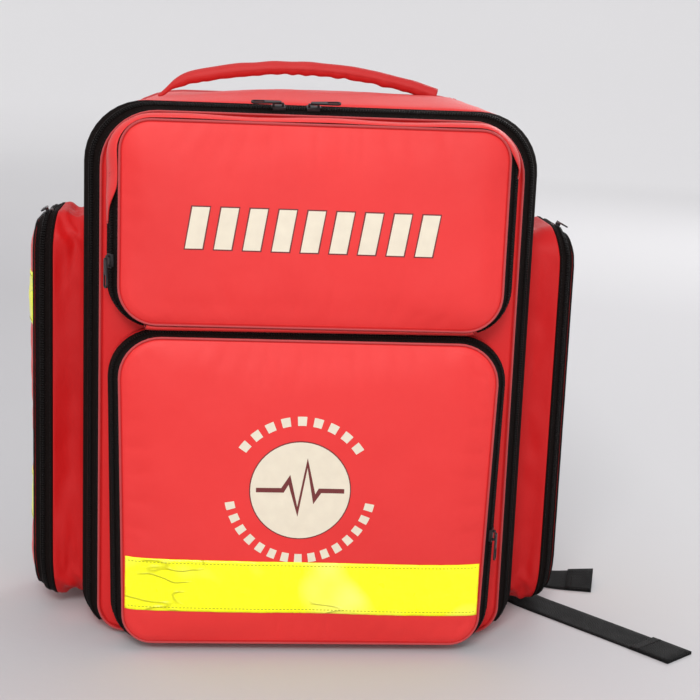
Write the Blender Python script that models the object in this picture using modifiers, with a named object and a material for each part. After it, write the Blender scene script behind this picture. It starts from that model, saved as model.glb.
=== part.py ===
"""Trauma backpack: a zipped cloth backpack that stands on its base.

Metres, +Z up. The front faces -Y and +X is the viewer's right. The origin is on the
ground, under the middle of the main compartment.
"""
import math
from typing import NamedTuple

import bmesh
import bpy
from mathutils import Matrix, Vector

# Cloth and trim
GAP = 0.0003  # clearance between pieces that touch
WALL = 0.003  # padded cloth wall
PANEL = 0.004  # padded cloth panel
TAPE = 0.0016  # zipper tape with its coil
PIPING_RADIUS = 0.002
WEBBING_WIDTH = 0.038
WEBBING = 0.0014
REFLECTIVE_WIDTH = 0.050
REFLECTIVE = 0.0006
TAPE_INSET = 0.0035  # from the piping to the reflective tape
BAND_HEIGHT = 0.0655  # the middle of the tape across the front
PANEL_INSET = PIPING_RADIUS + GAP + 0.0002  # a panel's edge, inside its piping's centre line
ARC_STEPS = 6  # facets in each rounded corner

# Where a zipper's two halves lie between the wall's rim (0) and the piping (1)
INNER_HALF = (0.055, 0.49)
OUTER_HALF = (0.51, 0.885)
MIDDLE = 0.5

# Main compartment
BODY_HALF_WIDTH = 0.2075
BODY_HEIGHT = 0.500
BODY_FRONT = -0.080
BODY_BACK = 0.080
LID_HALF_WIDTH = 0.1905
LID_LOW = 0.003
LID_HIGH = 0.4920
LID_SEAM = -0.104  # y of the lid's piping

# Inside the main compartment
FRAME_SHEET = 0.002
FRAME_SHEET_INSET = 0.008
BOARD = 0.002
BOARD_HALF_WIDTH = 0.160
DIVIDER_HALF_WIDTH = 0.2035
DIVIDER_HEIGHTS = (0.250, 0.256)
INNER_BACK = 0.0765  # how far back the board and the divider reach
NET = 0.0015
NET_GAP = 0.001

# Front pockets, on the lid
LOWER_SEAM = -0.1455
UPPER_SEAM = -0.1345
LOWER_WALL_DEPTH = 0.012  # how far a front pocket's wall stands off the lid
UPPER_WALL_DEPTH = 0.006

# Side pockets
SIDE_RIM = 0.2385
SIDE_SEAM = 0.2575
SIDE_TAPE_HEIGHTS = (0.110, 0.306)
SIDE_BOTTOM_DROOP = 0.12  # how far an empty pocket sinks in at its ends, as a share
SIDE_TOP_DROOP = {-1.0: 0.08, 1.0: 0.18}

# Zipper sliders
SLIDER_LENGTH = 0.013
SLIDER_WIDTH = 0.0095
SLIDER_HEIGHT = 0.0035
PULL_LENGTH = 0.026
PULL_WIDTH = 0.0075
PULL = 0.0016
PULL_ROOT = 0.0006  # how far the tab reaches past its pivot
SIDE_SLIDER_Y = -0.010

# Carry handle
HANDLE_RADIUS = 0.0065
HANDLE_LEFT = -0.140
HANDLE_RIGHT = 0.122
HANDLE_Y = 0.015
HANDLE_RISE = 0.021
HANDLE_CLEARANCE = 0.0015

# Back and shoulder straps
BACK_PAD = 0.014
PAD_HALF_WIDTH = 0.150
BACK_PAD_HEIGHTS = (0.190, 0.425)
LUMBAR_HEIGHTS = (0.052, 0.165)
YOKE_HALF_WIDTH = 0.095
YOKE_HEIGHTS = (0.438, 0.480)
YOKE = 0.003
STRAP_WIDTH = 0.062
STRAP = 0.012
STRAP_TOP = Vector((0.050, 0.0940, 0.462))

# Ladder-lock buckles
LOCK_CENTRE = (0.1145, 0.1205, 0.1335)
LOCK_LEAN = math.radians(86.0)
LOCK = 0.005
LOCK_HALF_LENGTH = 0.0145
LOCK_RIM = 0.005
SLOT_HALF_WIDTH = WEBBING_WIDTH / 2.0 + 0.001
SLOT_HEIGHTS = (0.003, 0.0095)  # from the buckle's middle, up and down
TAIL_TILT = math.radians(17.0)  # how far the left strap's free end leans on its edge

FINISHES = {  # base colour, roughness, metallic
    "red_cloth": ((0.78, 0.035, 0.035), 0.55, 0.0),
    "red_lining": ((0.42, 0.02, 0.02), 0.7, 0.0),
    "black_cloth": ((0.012, 0.012, 0.012), 0.8, 0.0),
    "zipper_tape": ((0.010, 0.009, 0.008), 0.75, 0.0),
    "webbing": ((0.011, 0.011, 0.012), 0.75, 0.0),
    "reflective": ((0.86, 1.0, 0.02), 0.35, 0.0),
    "slider_metal": ((0.06, 0.06, 0.065), 0.35, 0.9),
    "buckle_plastic": ((0.015, 0.015, 0.015), 0.45, 0.0),
    "board": ((0.03, 0.03, 0.03), 0.5, 0.0),
}


class Outline(NamedTuple):
    """A rounded rectangle in a (u, v) plane; flare is how far each side leans out."""

    left: float
    right: float
    low: float
    high: float
    low_radius: float
    high_radius: float
    flare: float = 0.0

    def inset(self, distance):
        return Outline(
            self.left + distance,
            self.right - distance,
            self.low + distance,
            self.high - distance,
            self.low_radius - distance,
            self.high_radius - distance,
            self.flare,
        )

    def points(self):
        """Corner by corner from the bottom right, counterclockwise."""
        corners = (
            (self.right - self.flare - self.low_radius, self.low + self.low_radius, self.low_radius),
            (self.right - self.high_radius, self.high - self.high_radius, self.high_radius),
            (self.left + self.high_radius, self.high - self.high_radius, self.high_radius),
            (self.left + self.flare + self.low_radius, self.low + self.low_radius, self.low_radius),
        )
        arcs = []
        for quarter, (centre_u, centre_v, radius) in enumerate(corners):
            angles = [math.radians(90.0 * (quarter - 1 + step / ARC_STEPS)) for step in range(ARC_STEPS + 1)]
            arcs.append([
                Vector((centre_u + radius * math.cos(angle), centre_v + radius * math.sin(angle)))
                for angle in angles
            ])
        low_right, high_right, high_left, low_left = arcs
        right_side = [low_right[-1].lerp(high_right[0], stop) for stop in SIDE_STOPS]
        left_side = [high_left[-1].lerp(low_left[0], 1.0 - stop) for stop in reversed(SIDE_STOPS)]
        return low_right + right_side + high_right + high_left + left_side + low_left


SIDE_STOPS = (0.1, 0.9)  # extra points up each side, as shares of its straight part
POINT_COUNT = 4 * (ARC_STEPS + 1) + 2 * len(SIDE_STOPS)

# The outlines of the walls' rims and of the pipings they close on
BODY_RIM = Outline(-BODY_HALF_WIDTH, BODY_HALF_WIDTH, 0.0, BODY_HEIGHT, 0.038, 0.056)
BACK_RIM = BODY_RIM._replace(high_radius=0.084)
LID_PIPING = Outline(-LID_HALF_WIDTH, LID_HALF_WIDTH, LID_LOW, LID_HIGH, 0.026, 0.050)
UPPER_RIM = Outline(-0.1840, 0.1840, 0.3015, 0.4885, 0.040, 0.036)
UPPER_PIPING = Outline(-0.1720, 0.1720, 0.3050, 0.4865, 0.034, 0.027)
LOWER_RIM = Outline(-0.1820, 0.1820, 0.0060, 0.2985, 0.034, 0.044, flare=0.004)
LOWER_PIPING = Outline(-0.1700, 0.1700, 0.0085, 0.2955, 0.027, 0.037, flare=0.005)
SIDE_RIM_OUTLINE = Outline(-0.052, 0.072, 0.0100, 0.3905, 0.030, 0.030)
SIDE_PIPING = Outline(-0.032, 0.052, 0.0190, 0.3800, 0.018, 0.018)
NET_OUTLINE = Outline(-0.150, 0.150, 0.060, 0.270, 0.020, 0.020)
SIDE_LOW_BEND = 0.055  # heights where the side pockets start to sink in
SIDE_HIGH_BEND = 0.355


def clear_scene():
    for existing in list(bpy.data.objects):
        bpy.data.objects.remove(existing, do_unlink=True)


def part_collection():
    collection = bpy.data.collections.new("trauma_backpack")
    bpy.context.scene.collection.children.link(collection)
    return collection


def finish_part(part, finish):
    """Give a part its own material and put it in the backpack's collection."""
    colour, roughness, metallic = FINISHES[finish]
    material = bpy.data.materials.new(part.name + "_material")
    material.use_nodes = True
    shader = material.node_tree.nodes["Principled BSDF"]
    shader.inputs["Base Color"].default_value = (*colour, 1.0)
    shader.inputs["Roughness"].default_value = roughness
    shader.inputs["Metallic"].default_value = metallic
    part.data.materials.append(material)
    bpy.data.collections["trauma_backpack"].objects.link(part)
    return part


def front_plane(u, v, depth):
    return Vector((u, depth, v))


def side_plane(side):
    """The plane of a side pocket: u runs to the back, and depth is away from the middle.

    The pocket sinks towards the body near its top and bottom, inside its round corners.
    """
    base = BODY_HALF_WIDTH + GAP

    def placed(u, v, depth):
        below = max(0.0, SIDE_LOW_BEND - v) / (SIDE_LOW_BEND - SIDE_RIM_OUTLINE.low)
        above = max(0.0, v - SIDE_HIGH_BEND) / (SIDE_RIM_OUTLINE.high - SIDE_HIGH_BEND)
        droop = SIDE_BOTTOM_DROOP * below ** 1.5 + SIDE_TOP_DROOP[side] * above ** 1.5
        return Vector((side * (base + (depth - base) * (1.0 - droop)), u, v))

    return placed


def place(points, plane, depth):
    return [plane(point.x, point.y, depth) for point in points]


def between(near_row, far_row, share):
    return [near.lerp(far, share) for near, far in zip(near_row, far_row)]


def run(row, first, last):
    """The stretch of a closed row between two positions, counted in points."""
    def point_at(position):
        index = math.floor(position)
        return row[index % len(row)].lerp(row[(index + 1) % len(row)], position - index)

    inside = range(math.floor(first) + 1, math.ceil(last))
    return [point_at(first)] + [row[index % len(row)] for index in inside] + [point_at(last)]


def add_mesh(name, mesh_builder, finish):
    bmesh.ops.recalc_face_normals(mesh_builder, faces=mesh_builder.faces)
    mesh = bpy.data.meshes.new(name)
    mesh_builder.to_mesh(mesh)
    mesh_builder.free()
    return finish_part(bpy.data.objects.new(name, mesh), finish)


def solidify(part, thickness):
    """Thicken an open surface equally to both sides."""
    modifier = part.modifiers.new("thickness", "SOLIDIFY")
    modifier.thickness = thickness
    modifier.offset = 0.0
    modifier.use_even_offset = True
    return part


def soften(part, width, segments=1):
    modifier = part.modifiers.new("edge", "BEVEL")
    modifier.width = width
    modifier.segments = segments
    modifier.limit_method = "ANGLE"
    modifier.angle_limit = math.radians(50.0)
    return part


def skin(mesh_builder, rows, closed):
    """Faces between neighbouring rows of points; returns the rows of vertices."""
    grid = [[mesh_builder.verts.new(point) for point in row] for row in rows]
    for near, far in zip(grid, grid[1:]):
        for index in range(len(near) if closed else len(near) - 1):
            following = (index + 1) % len(near)
            mesh_builder.faces.new((near[index], near[following], far[following], far[index]))
    return grid


def cloth_strip(name, rows, thickness, finish, closed=False):
    mesh_builder = bmesh.new()
    skin(mesh_builder, rows, closed)
    return solidify(add_mesh(name, mesh_builder, finish), thickness)


def wall(name, base_row, rim_row, seam_row, corner_facets, thickness=WALL):
    """A compartment's wall, with the strip of its bottom that is sewn to the flap.

    corner_facets is how many facets of each bottom corner the sewn strip takes in.
    """
    mesh_builder = bmesh.new()
    rim = skin(mesh_builder, [base_row, rim_row], closed=True)[-1]
    strip_indices = [index % POINT_COUNT for index in range(-1 - corner_facets, corner_facets + 1)]
    strip_end = between(rim_row, seam_row, OUTER_HALF[1])
    far = [mesh_builder.verts.new(strip_end[index]) for index in strip_indices]
    near = [rim[index] for index in strip_indices]
    for index in range(len(near) - 1):
        mesh_builder.faces.new((near[index], near[index + 1], far[index + 1], far[index]))
    return solidify(add_mesh(name, mesh_builder, "red_cloth"), thickness)


def zipper_half(name, rim_row, seam_row, half, corner_facets):
    """One tape of a zipper that runs up one side, over the top and down the other."""
    clearance = 0.06  # of a facet, between the tape's end and the sewn strip
    first = corner_facets + clearance
    last = POINT_COUNT - 1 - corner_facets - clearance
    rows = [run(between(rim_row, seam_row, share), first, last) for share in half]
    return cloth_strip(name, rows, TAPE, "zipper_tape")


def panel(name, outline, plane, depth, thickness, finish):
    """A flat padded panel whose middle is at the given depth."""
    mesh_builder = bmesh.new()
    corners = [mesh_builder.verts.new(point) for point in place(outline.points(), plane, depth)]
    mesh_builder.faces.new(corners)
    return solidify(add_mesh(name, mesh_builder, finish), thickness)


def curved_panel(name, outline, plane, depth, thickness, finish):
    """A padded panel that follows a bent plane: slats from its right edge to its left."""
    row = place(outline.points(), plane, depth)
    half_count = POINT_COUNT // 2
    return cloth_strip(name, [row[:half_count], row[:half_count - 1:-1]], thickness, finish)


def piping(name, outline, plane, depth, finish="red_cloth"):
    curve = bpy.data.curves.new(name, "CURVE")
    curve.dimensions = "3D"
    curve.bevel_depth = PIPING_RADIUS
    curve.bevel_resolution = 1
    row = place(outline.points(), plane, depth)
    spline = curve.splines.new("POLY")
    spline.points.add(len(row) - 1)
    for spline_point, point in zip(spline.points, row):
        spline_point.co = (*point, 1.0)
    spline.use_cyclic_u = True
    return finish_part(bpy.data.objects.new(name, curve), finish)


def box(name, low, high, finish):
    mesh_builder = bmesh.new()
    low, high = Vector(low), Vector(high)
    centre = Matrix.Translation((low + high) / 2.0)
    bmesh.ops.create_cube(mesh_builder, size=1.0, matrix=centre @ Matrix.Diagonal((*(high - low), 1.0)))
    return add_mesh(name, mesh_builder, finish)


def ribbon(name, path, width, thickness, finish):
    """A flat strap along a path of (centre, direction across) pairs."""
    left = [centre - across.normalized() * width / 2.0 for centre, across in path]
    right = [centre + across.normalized() * width / 2.0 for centre, across in path]
    return cloth_strip(name, [left, right], thickness, finish)


def smooth_path(points, steps):
    """Catmull-Rom spline through the points, with this many steps between two of them."""
    padded = [2.0 * points[0] - points[1], *points, 2.0 * points[-1] - points[-2]]
    path = []
    for before, start, end, after in zip(padded, padded[1:], padded[2:], padded[3:]):
        for step in range(steps):
            t = step / steps
            path.append(
                0.5 * (
                    2.0 * start
                    + (end - before) * t
                    + (2.0 * before - 5.0 * start + 4.0 * end - after) * t ** 2
                    + (3.0 * start - before - 3.0 * end + after) * t ** 3
                )
            )
    path.append(points[-1])
    return path


def pivot(name, origin, run_direction=(1.0, 0.0, 0.0), outward=(0.0, 0.0, 1.0)):
    """An empty on a joint, its X along the run and its Z outward."""
    along, out = Vector(run_direction).normalized(), Vector(outward).normalized()
    across = out.cross(along)
    rotation = Matrix((along, across, out)).transposed()
    empty = bpy.data.objects.new(name, None)
    empty.matrix_world = Matrix.Translation(Vector(origin)) @ rotation.to_4x4()
    bpy.data.collections["trauma_backpack"].objects.link(empty)
    return empty


def hang_on(empty, parts):
    """Parent parts that are modelled in world coordinates, leaving them where they are."""
    for part in parts:
        part.parent = empty
        part.matrix_parent_inverse = empty.matrix_world.inverted()


def build_main_compartment():
    rim = place(BODY_RIM.inset(WALL / 2.0).points(), front_plane, BODY_FRONT)
    base = place(BACK_RIM.inset(WALL / 2.0).points(), front_plane, BODY_BACK)
    seam = place(LID_PIPING.points(), front_plane, LID_SEAM)
    wall("main_gusset", base, rim, seam, corner_facets=3)
    tape_rim = place(BODY_RIM.inset(TAPE / 2.0).points(), front_plane, BODY_FRONT)
    zipper_half("main_zipper_body_half", tape_rim, seam, INNER_HALF, corner_facets=3)

    back_depth = BODY_BACK + GAP + PANEL / 2.0
    panel("back_panel", BACK_RIM, front_plane, back_depth, PANEL, "black_cloth")
    sheet_depth = BODY_BACK - GAP - FRAME_SHEET / 2.0
    panel("frame_sheet", BACK_RIM.inset(FRAME_SHEET_INSET), front_plane, sheet_depth, FRAME_SHEET, "board")

    floor_of_bag = WALL + GAP
    box(
        "base_board",
        (-BOARD_HALF_WIDTH, BODY_FRONT + 0.006, floor_of_bag),
        (BOARD_HALF_WIDTH, INNER_BACK, floor_of_bag + BOARD),
        "board",
    )
    divider = box(
        "padded_divider",
        (-DIVIDER_HALF_WIDTH, BODY_FRONT + 0.012, DIVIDER_HEIGHTS[0]),
        (DIVIDER_HALF_WIDTH, INNER_BACK, DIVIDER_HEIGHTS[1]),
        "red_lining",
    )
    soften(divider, 0.0015)


def build_back():
    """Two pads and the yoke that the shoulder straps are sewn to."""
    rear_face = BODY_BACK + GAP + PANEL
    front, back = rear_face + GAP, rear_face + BACK_PAD
    for name, (low, high) in (("back_pad", BACK_PAD_HEIGHTS), ("lumbar_pad", LUMBAR_HEIGHTS)):
        pad = box(name, (-PAD_HALF_WIDTH, front, low), (PAD_HALF_WIDTH, back, high), "black_cloth")
        soften(pad, 0.004, 2)
    yoke_low, yoke_high = YOKE_HEIGHTS
    box(
        "shoulder_yoke",
        (-YOKE_HALF_WIDTH, front, yoke_low),
        (YOKE_HALF_WIDTH, front + YOKE, yoke_high),
        "webbing",
    )


def build_lid():
    hinge = pivot("lid_pivot", (0.0, LID_SEAM, LID_LOW))
    rim = place(BODY_RIM.inset(TAPE / 2.0).points(), front_plane, BODY_FRONT)
    seam = place(LID_PIPING.points(), front_plane, LID_SEAM)
    net_depth = LID_SEAM + PANEL / 2.0 + NET_GAP + GAP
    hang_on(hinge, (
        panel("lid_panel", LID_PIPING.inset(PANEL_INSET), front_plane, LID_SEAM, PANEL, "red_cloth"),
        piping("lid_piping", LID_PIPING, front_plane, LID_SEAM),
        zipper_half("main_zipper_lid_half", rim, seam, OUTER_HALF, corner_facets=3),
        panel("lid_mesh_pocket", NET_OUTLINE, front_plane, net_depth, NET, "black_cloth"),
    ))
    return hinge


def build_front_pocket(name, rim_outline, piping_outline, wall_depth, seam_depth, lid_hinge):
    """A pocket on the lid: its wall and inner tape stay on the lid, and its flap swings."""
    base_depth = LID_SEAM - PANEL / 2.0 - GAP
    rim_depth = base_depth - wall_depth
    rim = place(rim_outline.inset(WALL / 2.0).points(), front_plane, rim_depth)
    base = place(rim_outline.inset(WALL / 2.0).points(), front_plane, base_depth)
    tape_rim = place(rim_outline.inset(TAPE / 2.0).points(), front_plane, rim_depth)
    seam = place(piping_outline.points(), front_plane, seam_depth)
    hang_on(lid_hinge, (
        wall(name + "_pocket_gusset", base, rim, seam, corner_facets=1),
        zipper_half(name + "_zipper_inner_half", tape_rim, seam, INNER_HALF, corner_facets=1),
    ))
    hinge = pivot(name + "_flap_pivot", (0.0, seam_depth, piping_outline.low))
    hang_on(hinge, (
        panel(name + "_flap", piping_outline.inset(PANEL_INSET), front_plane, seam_depth, PANEL, "red_cloth"),
        piping(name + "_flap_piping", piping_outline, front_plane, seam_depth),
        zipper_half(name + "_zipper_outer_half", tape_rim, seam, OUTER_HALF, corner_facets=1),
    ))
    hang_on(lid_hinge, (hinge,))
    return hinge


def build_reflective_band(lower_hinge):
    half_width = LOWER_PIPING.right - LOWER_PIPING.flare - TAPE_INSET
    face = LOWER_SEAM - PANEL / 2.0 - GAP
    middle = BAND_HEIGHT
    band = box(
        "reflective_band",
        (-half_width, face - REFLECTIVE, middle - REFLECTIVE_WIDTH / 2.0),
        (half_width, face, middle + REFLECTIVE_WIDTH / 2.0),
        "reflective",
    )
    hang_on(lower_hinge, (band,))


def build_side_pocket(name, side):
    plane = side_plane(side)
    base_depth = BODY_HALF_WIDTH + GAP
    rim = place(SIDE_RIM_OUTLINE.inset(WALL / 2.0).points(), plane, SIDE_RIM)
    base = place(SIDE_RIM_OUTLINE.inset(WALL / 2.0).points(), plane, base_depth)
    tape_rim = place(SIDE_RIM_OUTLINE.inset(TAPE / 2.0).points(), plane, SIDE_RIM)
    seam = place(SIDE_PIPING.points(), plane, SIDE_SEAM)
    wall(name + "_pocket_gusset", base, rim, seam, corner_facets=1)
    zipper_half(name + "_zipper_inner_half", tape_rim, seam, INNER_HALF, corner_facets=1)

    hinge = pivot(name + "_flap_pivot", plane(0.0, SIDE_PIPING.low, SIDE_SEAM))
    face = SIDE_SEAM + PANEL / 2.0 + GAP
    parts = [
        curved_panel(name + "_flap", SIDE_PIPING.inset(PANEL_INSET), plane, SIDE_SEAM, PANEL, "red_cloth"),
        piping(name + "_flap_piping", SIDE_PIPING, plane, SIDE_SEAM, "black_cloth"),
        zipper_half(name + "_zipper_outer_half", tape_rim, seam, OUTER_HALF, corner_facets=1),
    ]
    for place_name, middle in zip(("lower", "upper"), SIDE_TAPE_HEIGHTS):
        xs = sorted((side * face, side * (face + REFLECTIVE)))
        parts.append(box(
            f"{name}_reflective_{place_name}",
            (xs[0], SIDE_PIPING.left + TAPE_INSET, middle - REFLECTIVE_WIDTH / 2.0),
            (xs[1], SIDE_PIPING.right - TAPE_INSET, middle + REFLECTIVE_WIDTH / 2.0),
            "reflective",
        ))
    hang_on(hinge, parts)


def flat_outline(name, outlines, thickness, finish):
    """A flat plate in its own XY plane; the first outline is its edge, others are holes."""
    curve = bpy.data.curves.new(name, "CURVE")
    curve.dimensions = "2D"
    curve.fill_mode = "BOTH"
    curve.extrude = thickness / 2.0
    for outline in outlines:
        spline = curve.splines.new("POLY")
        spline.points.add(len(outline) - 1)
        for spline_point, point in zip(spline.points, outline):
            spline_point.co = (point.x, point.y, 0.0, 1.0)
        spline.use_cyclic_u = True
    return finish_part(bpy.data.objects.new(name, curve), finish)


def slider_plan():
    """The slider seen from outside: a broad nose that narrows to the tail."""
    nose, tail = SLIDER_LENGTH / 2.0, -SLIDER_LENGTH / 2.0
    half = SLIDER_WIDTH / 2.0
    return [
        Vector((tail, -0.65 * half)),
        Vector((0.2 * nose, -half)),
        Vector((0.75 * nose, -0.9 * half)),
        Vector((nose, -0.45 * half)),
        Vector((nose, 0.45 * half)),
        Vector((0.75 * nose, 0.9 * half)),
        Vector((0.2 * nose, half)),
        Vector((tail, 0.65 * half)),
    ]


def pull_plan():
    """A tab with a rounded tip; its pivot is at the origin and it reaches along -X."""
    half = PULL_WIDTH / 2.0
    points = [Vector((PULL_ROOT, -half * 0.7)), Vector((PULL_ROOT, half * 0.7))]
    tip = half - PULL_LENGTH
    for step in range(ARC_STEPS + 1):
        angle = math.radians(90.0 + 180.0 * step / ARC_STEPS)
        points.append(Vector((tip + half * math.cos(angle), half * math.sin(angle))))
    return points


def build_slider(name, origin, run_direction, outward, carrier):
    """A slider on a zipper, and its pull tab on the slider's bridge."""
    frame = pivot(name + "_pivot", origin, run_direction, outward)
    body = flat_outline(name, [slider_plan()], SLIDER_HEIGHT, "slider_metal")
    body.parent = frame
    body.location = (0.0, 0.0, TAPE / 2.0 + GAP + SLIDER_HEIGHT / 2.0)
    lift = TAPE / 2.0 + 2.0 * GAP + SLIDER_HEIGHT + PULL / 2.0
    pull = flat_outline(name.replace("slider", "pull"), [pull_plan()], PULL, "slider_metal")
    pull.parent = frame
    pull.location = (0.0, 0.0, lift)
    if carrier is not None:
        hang_on(carrier, (frame,))


def edge_at(outline, height, inset):
    """How far out an outline's straight right side is at a height."""
    low_end, high_end = outline.low + outline.low_radius, outline.high - outline.high_radius
    share = (height - low_end) / (high_end - low_end)
    return outline.right - inset - outline.flare * (1.0 - share)


def band_frame(rim_point, seam_point, run_direction):
    """Where a slider sits: the middle of the band, and the direction out of it."""
    origin = rim_point.lerp(seam_point, MIDDLE)
    outward = Vector(run_direction).cross(seam_point - rim_point).normalized()
    return origin, outward


def build_sliders(lid_hinge):
    top_rim = Vector((0.0, BODY_FRONT, BODY_HEIGHT - TAPE / 2.0))
    top_seam = Vector((0.0, LID_SEAM, LID_HIGH))
    for name, x, run_direction in (
        ("main_slider_left", -0.034, (1.0, 0.0, 0.0)),
        ("main_slider_right", -0.002, (-1.0, 0.0, 0.0)),
    ):
        origin, outward = band_frame(top_rim, top_seam, (1.0, 0.0, 0.0))
        origin.x = x
        outward = outward if outward.z > 0.0 else -outward
        build_slider(name, origin, run_direction, outward, None)

    base_depth = LID_SEAM - PANEL / 2.0 - GAP
    for name, rim, piping_outline, wall_depth, seam_depth, height, side in (
        ("upper_slider", UPPER_RIM, UPPER_PIPING, UPPER_WALL_DEPTH, UPPER_SEAM, 0.360, -1.0),
        ("lower_slider", LOWER_RIM, LOWER_PIPING, LOWER_WALL_DEPTH, LOWER_SEAM, 0.112, 1.0),
    ):
        rim_depth = base_depth - wall_depth
        rim_point = Vector((side * edge_at(rim, height, TAPE / 2.0), rim_depth, height))
        seam_point = Vector((side * edge_at(piping_outline, height, 0.0), seam_depth, height))
        lean = rim.flare / (rim.high - rim.high_radius - rim.low - rim.low_radius)
        run_direction = Vector((side * lean, 0.0, 1.0)).normalized()
        origin, outward = band_frame(rim_point, seam_point, run_direction)
        outward = outward if outward.x * side > 0.0 else -outward
        build_slider(name, origin, run_direction, outward, lid_hinge)

    for name, side in (("left", -1.0), ("right", 1.0)):
        plane = side_plane(side)
        rim_point = plane(SIDE_SLIDER_Y, SIDE_RIM_OUTLINE.high - TAPE / 2.0, SIDE_RIM)
        seam_point = plane(SIDE_SLIDER_Y, SIDE_PIPING.high, SIDE_SEAM)
        origin, outward = band_frame(rim_point, seam_point, (0.0, 1.0, 0.0))
        outward = outward if outward.z > 0.0 else -outward
        build_slider(name + "_pocket_slider", origin, (0.0, 1.0, 0.0), outward, None)


def build_handle():
    """A padded grab handle that arches over the top, swinging about its sewn ends."""
    end_height = BODY_HEIGHT + HANDLE_CLEARANCE + HANDLE_RADIUS
    hinge = pivot("handle_pivot", (0.0, HANDLE_Y, end_height))
    curve = bpy.data.curves.new("carry_handle", "CURVE")
    curve.dimensions = "3D"
    curve.bevel_depth = HANDLE_RADIUS
    curve.bevel_resolution = 2
    curve.use_fill_caps = True
    steps = 16
    spline = curve.splines.new("POLY")
    spline.points.add(steps)
    for step, spline_point in enumerate(spline.points):
        share = step / steps
        x = HANDLE_LEFT + (HANDLE_RIGHT - HANDLE_LEFT) * share
        rise = HANDLE_RISE * (1.0 - (2.0 * share - 1.0) ** 2)
        spline_point.co = (x, HANDLE_Y, end_height + rise, 1.0)
    handle = finish_part(bpy.data.objects.new("carry_handle", curve), "red_cloth")
    hang_on(hinge, (handle,))


def mirrored(point, side):
    return Vector((side * point[0], point[1], point[2]))


def build_shoulder_strap(name, side):
    """A padded strap with its ladder-lock buckle, sewn to the yoke at its top."""
    across = Vector((1.0, 0.0, 0.0))
    pad_points = [mirrored(point, side) for point in (
        STRAP_TOP,
        (0.056, 0.1120, 0.440),
        (0.070, 0.1260, 0.380),
        (0.087, 0.1300, 0.300),
        (0.101, 0.1270, 0.220),
        (0.112, 0.1220, 0.150),
    )]
    path = [(centre, across) for centre in smooth_path(pad_points, 3)]
    pad = soften(ribbon(name + "_shoulder_pad", path, STRAP_WIDTH, STRAP, "black_cloth"), 0.003, 2)

    bar_half = SLOT_HALF_WIDTH + LOCK_RIM
    slot_low, slot_high = SLOT_HEIGHTS
    buckle = flat_outline(
        name + "_ladder_lock",
        [
            Outline(-bar_half, bar_half, -LOCK_HALF_LENGTH, LOCK_HALF_LENGTH, 0.003, 0.003).points(),
            Outline(-SLOT_HALF_WIDTH, SLOT_HALF_WIDTH, slot_low, slot_high, 0.001, 0.001).points(),
            Outline(-SLOT_HALF_WIDTH, SLOT_HALF_WIDTH, -slot_high, -slot_low, 0.001, 0.001).points(),
        ],
        LOCK,
        "buckle_plastic",
    )
    buckle.location = mirrored(LOCK_CENTRE, side)
    buckle.rotation_euler = (LOCK_LEAN, 0.0, 0.0)

    hinge = pivot(name + "_strap_pivot", mirrored(STRAP_TOP, side))
    hang_on(hinge, (pad, buckle))

    webbing_points = [mirrored(point, side) for point in (
        (0.150, 0.0856, 0.044),
        (0.149, 0.0880, 0.026),
        (0.146, 0.0980, 0.013),
        (0.141, 0.1160, 0.011),
        (0.133, 0.1310, 0.030),
        (0.125, 0.1320, 0.064),
        (0.118, 0.1240, 0.098),
        (0.1165, 0.1205, 0.117),
    )]
    path = [(centre, across) for centre in smooth_path(webbing_points, 2)]
    ribbon(name + "_lower_webbing", path, WEBBING_WIDTH, WEBBING, "webbing")


def build_tails():
    """The straps' free ends: they hang from the buckles and lie on the ground."""
    on_ground = GAP + WEBBING / 2.0
    on_other = on_ground + WEBBING + 3.0 * GAP
    left_points = (
        (-0.1170, 0.1320, 0.114),
        (-0.1200, 0.1430, 0.094),
        (-0.1190, 0.1510, 0.062),
        (-0.1050, 0.1530, 0.028),
        (-0.0780, 0.1510, 0.008),
        (-0.0420, 0.1490, 0.0018),
        (-0.0100, 0.1480, on_ground),
        (0.0400, 0.1460, on_ground),
        (0.1000, 0.1410, on_ground),
        (0.1520, 0.1250, on_ground),
        (0.1980, 0.1010, on_ground),
        (0.2380, 0.0690, on_ground),
        (0.2750, 0.0420, on_ground),
        (0.3160, 0.0300, on_ground),
    )
    right_points = (
        (0.1170, 0.1320, 0.114),
        (0.1210, 0.1440, 0.094),
        (0.1280, 0.1600, 0.056),
        (0.1400, 0.1660, 0.019),
        (0.1540, 0.1520, 0.0055),
        (0.1760, 0.1300, on_other),
        (0.1990, 0.1000, on_other),
        (0.2130, 0.0680, on_other),
        (0.2200, 0.0380, on_other),
        (0.2270, 0.0120, 0.0020),
        (0.2380, -0.0120, on_ground),
        (0.2720, -0.0540, on_ground),
        (0.3130, -0.1040, on_ground),
        (0.3570, -0.1590, on_ground),
    )
    build_tail("left_strap_tail", left_points, TAIL_TILT, turns_over=False)
    build_tail("right_strap_tail", right_points, 0.0, turns_over=True)


def build_tail(name, points, tilt, turns_over):
    """A free end that turns from hanging across the back to lying flat; tilt lifts its last stretch."""
    steps = 2
    twisting = 4 * steps
    across = Vector((1.0, 0.0, 0.0))
    centres = smooth_path([Vector(point) for point in points], steps)
    last = len(centres) - 1
    path = []
    for index, centre in enumerate(centres):
        heading = centres[min(index + 1, last)] - centres[max(index - 1, 0)]
        flat = Vector((-heading.y, heading.x, 0.0)).normalized()
        if turns_over and flat.x < 0.0:
            flat = -flat
        level = across.lerp(flat, min(1.0, index / twisting)).normalized()
        lifted = max(0.0, (index - (last - 2 * steps)) / (2 * steps)) * tilt
        lowest = GAP + WEBBING / 2.0 + math.sin(lifted) * WEBBING_WIDTH / 2.0
        centre.z = max(centre.z, lowest)
        path.append((centre, level * math.cos(lifted) + Vector((0.0, 0.0, math.sin(lifted)))))
    ribbon(name, path, WEBBING_WIDTH, WEBBING, "webbing")


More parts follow.
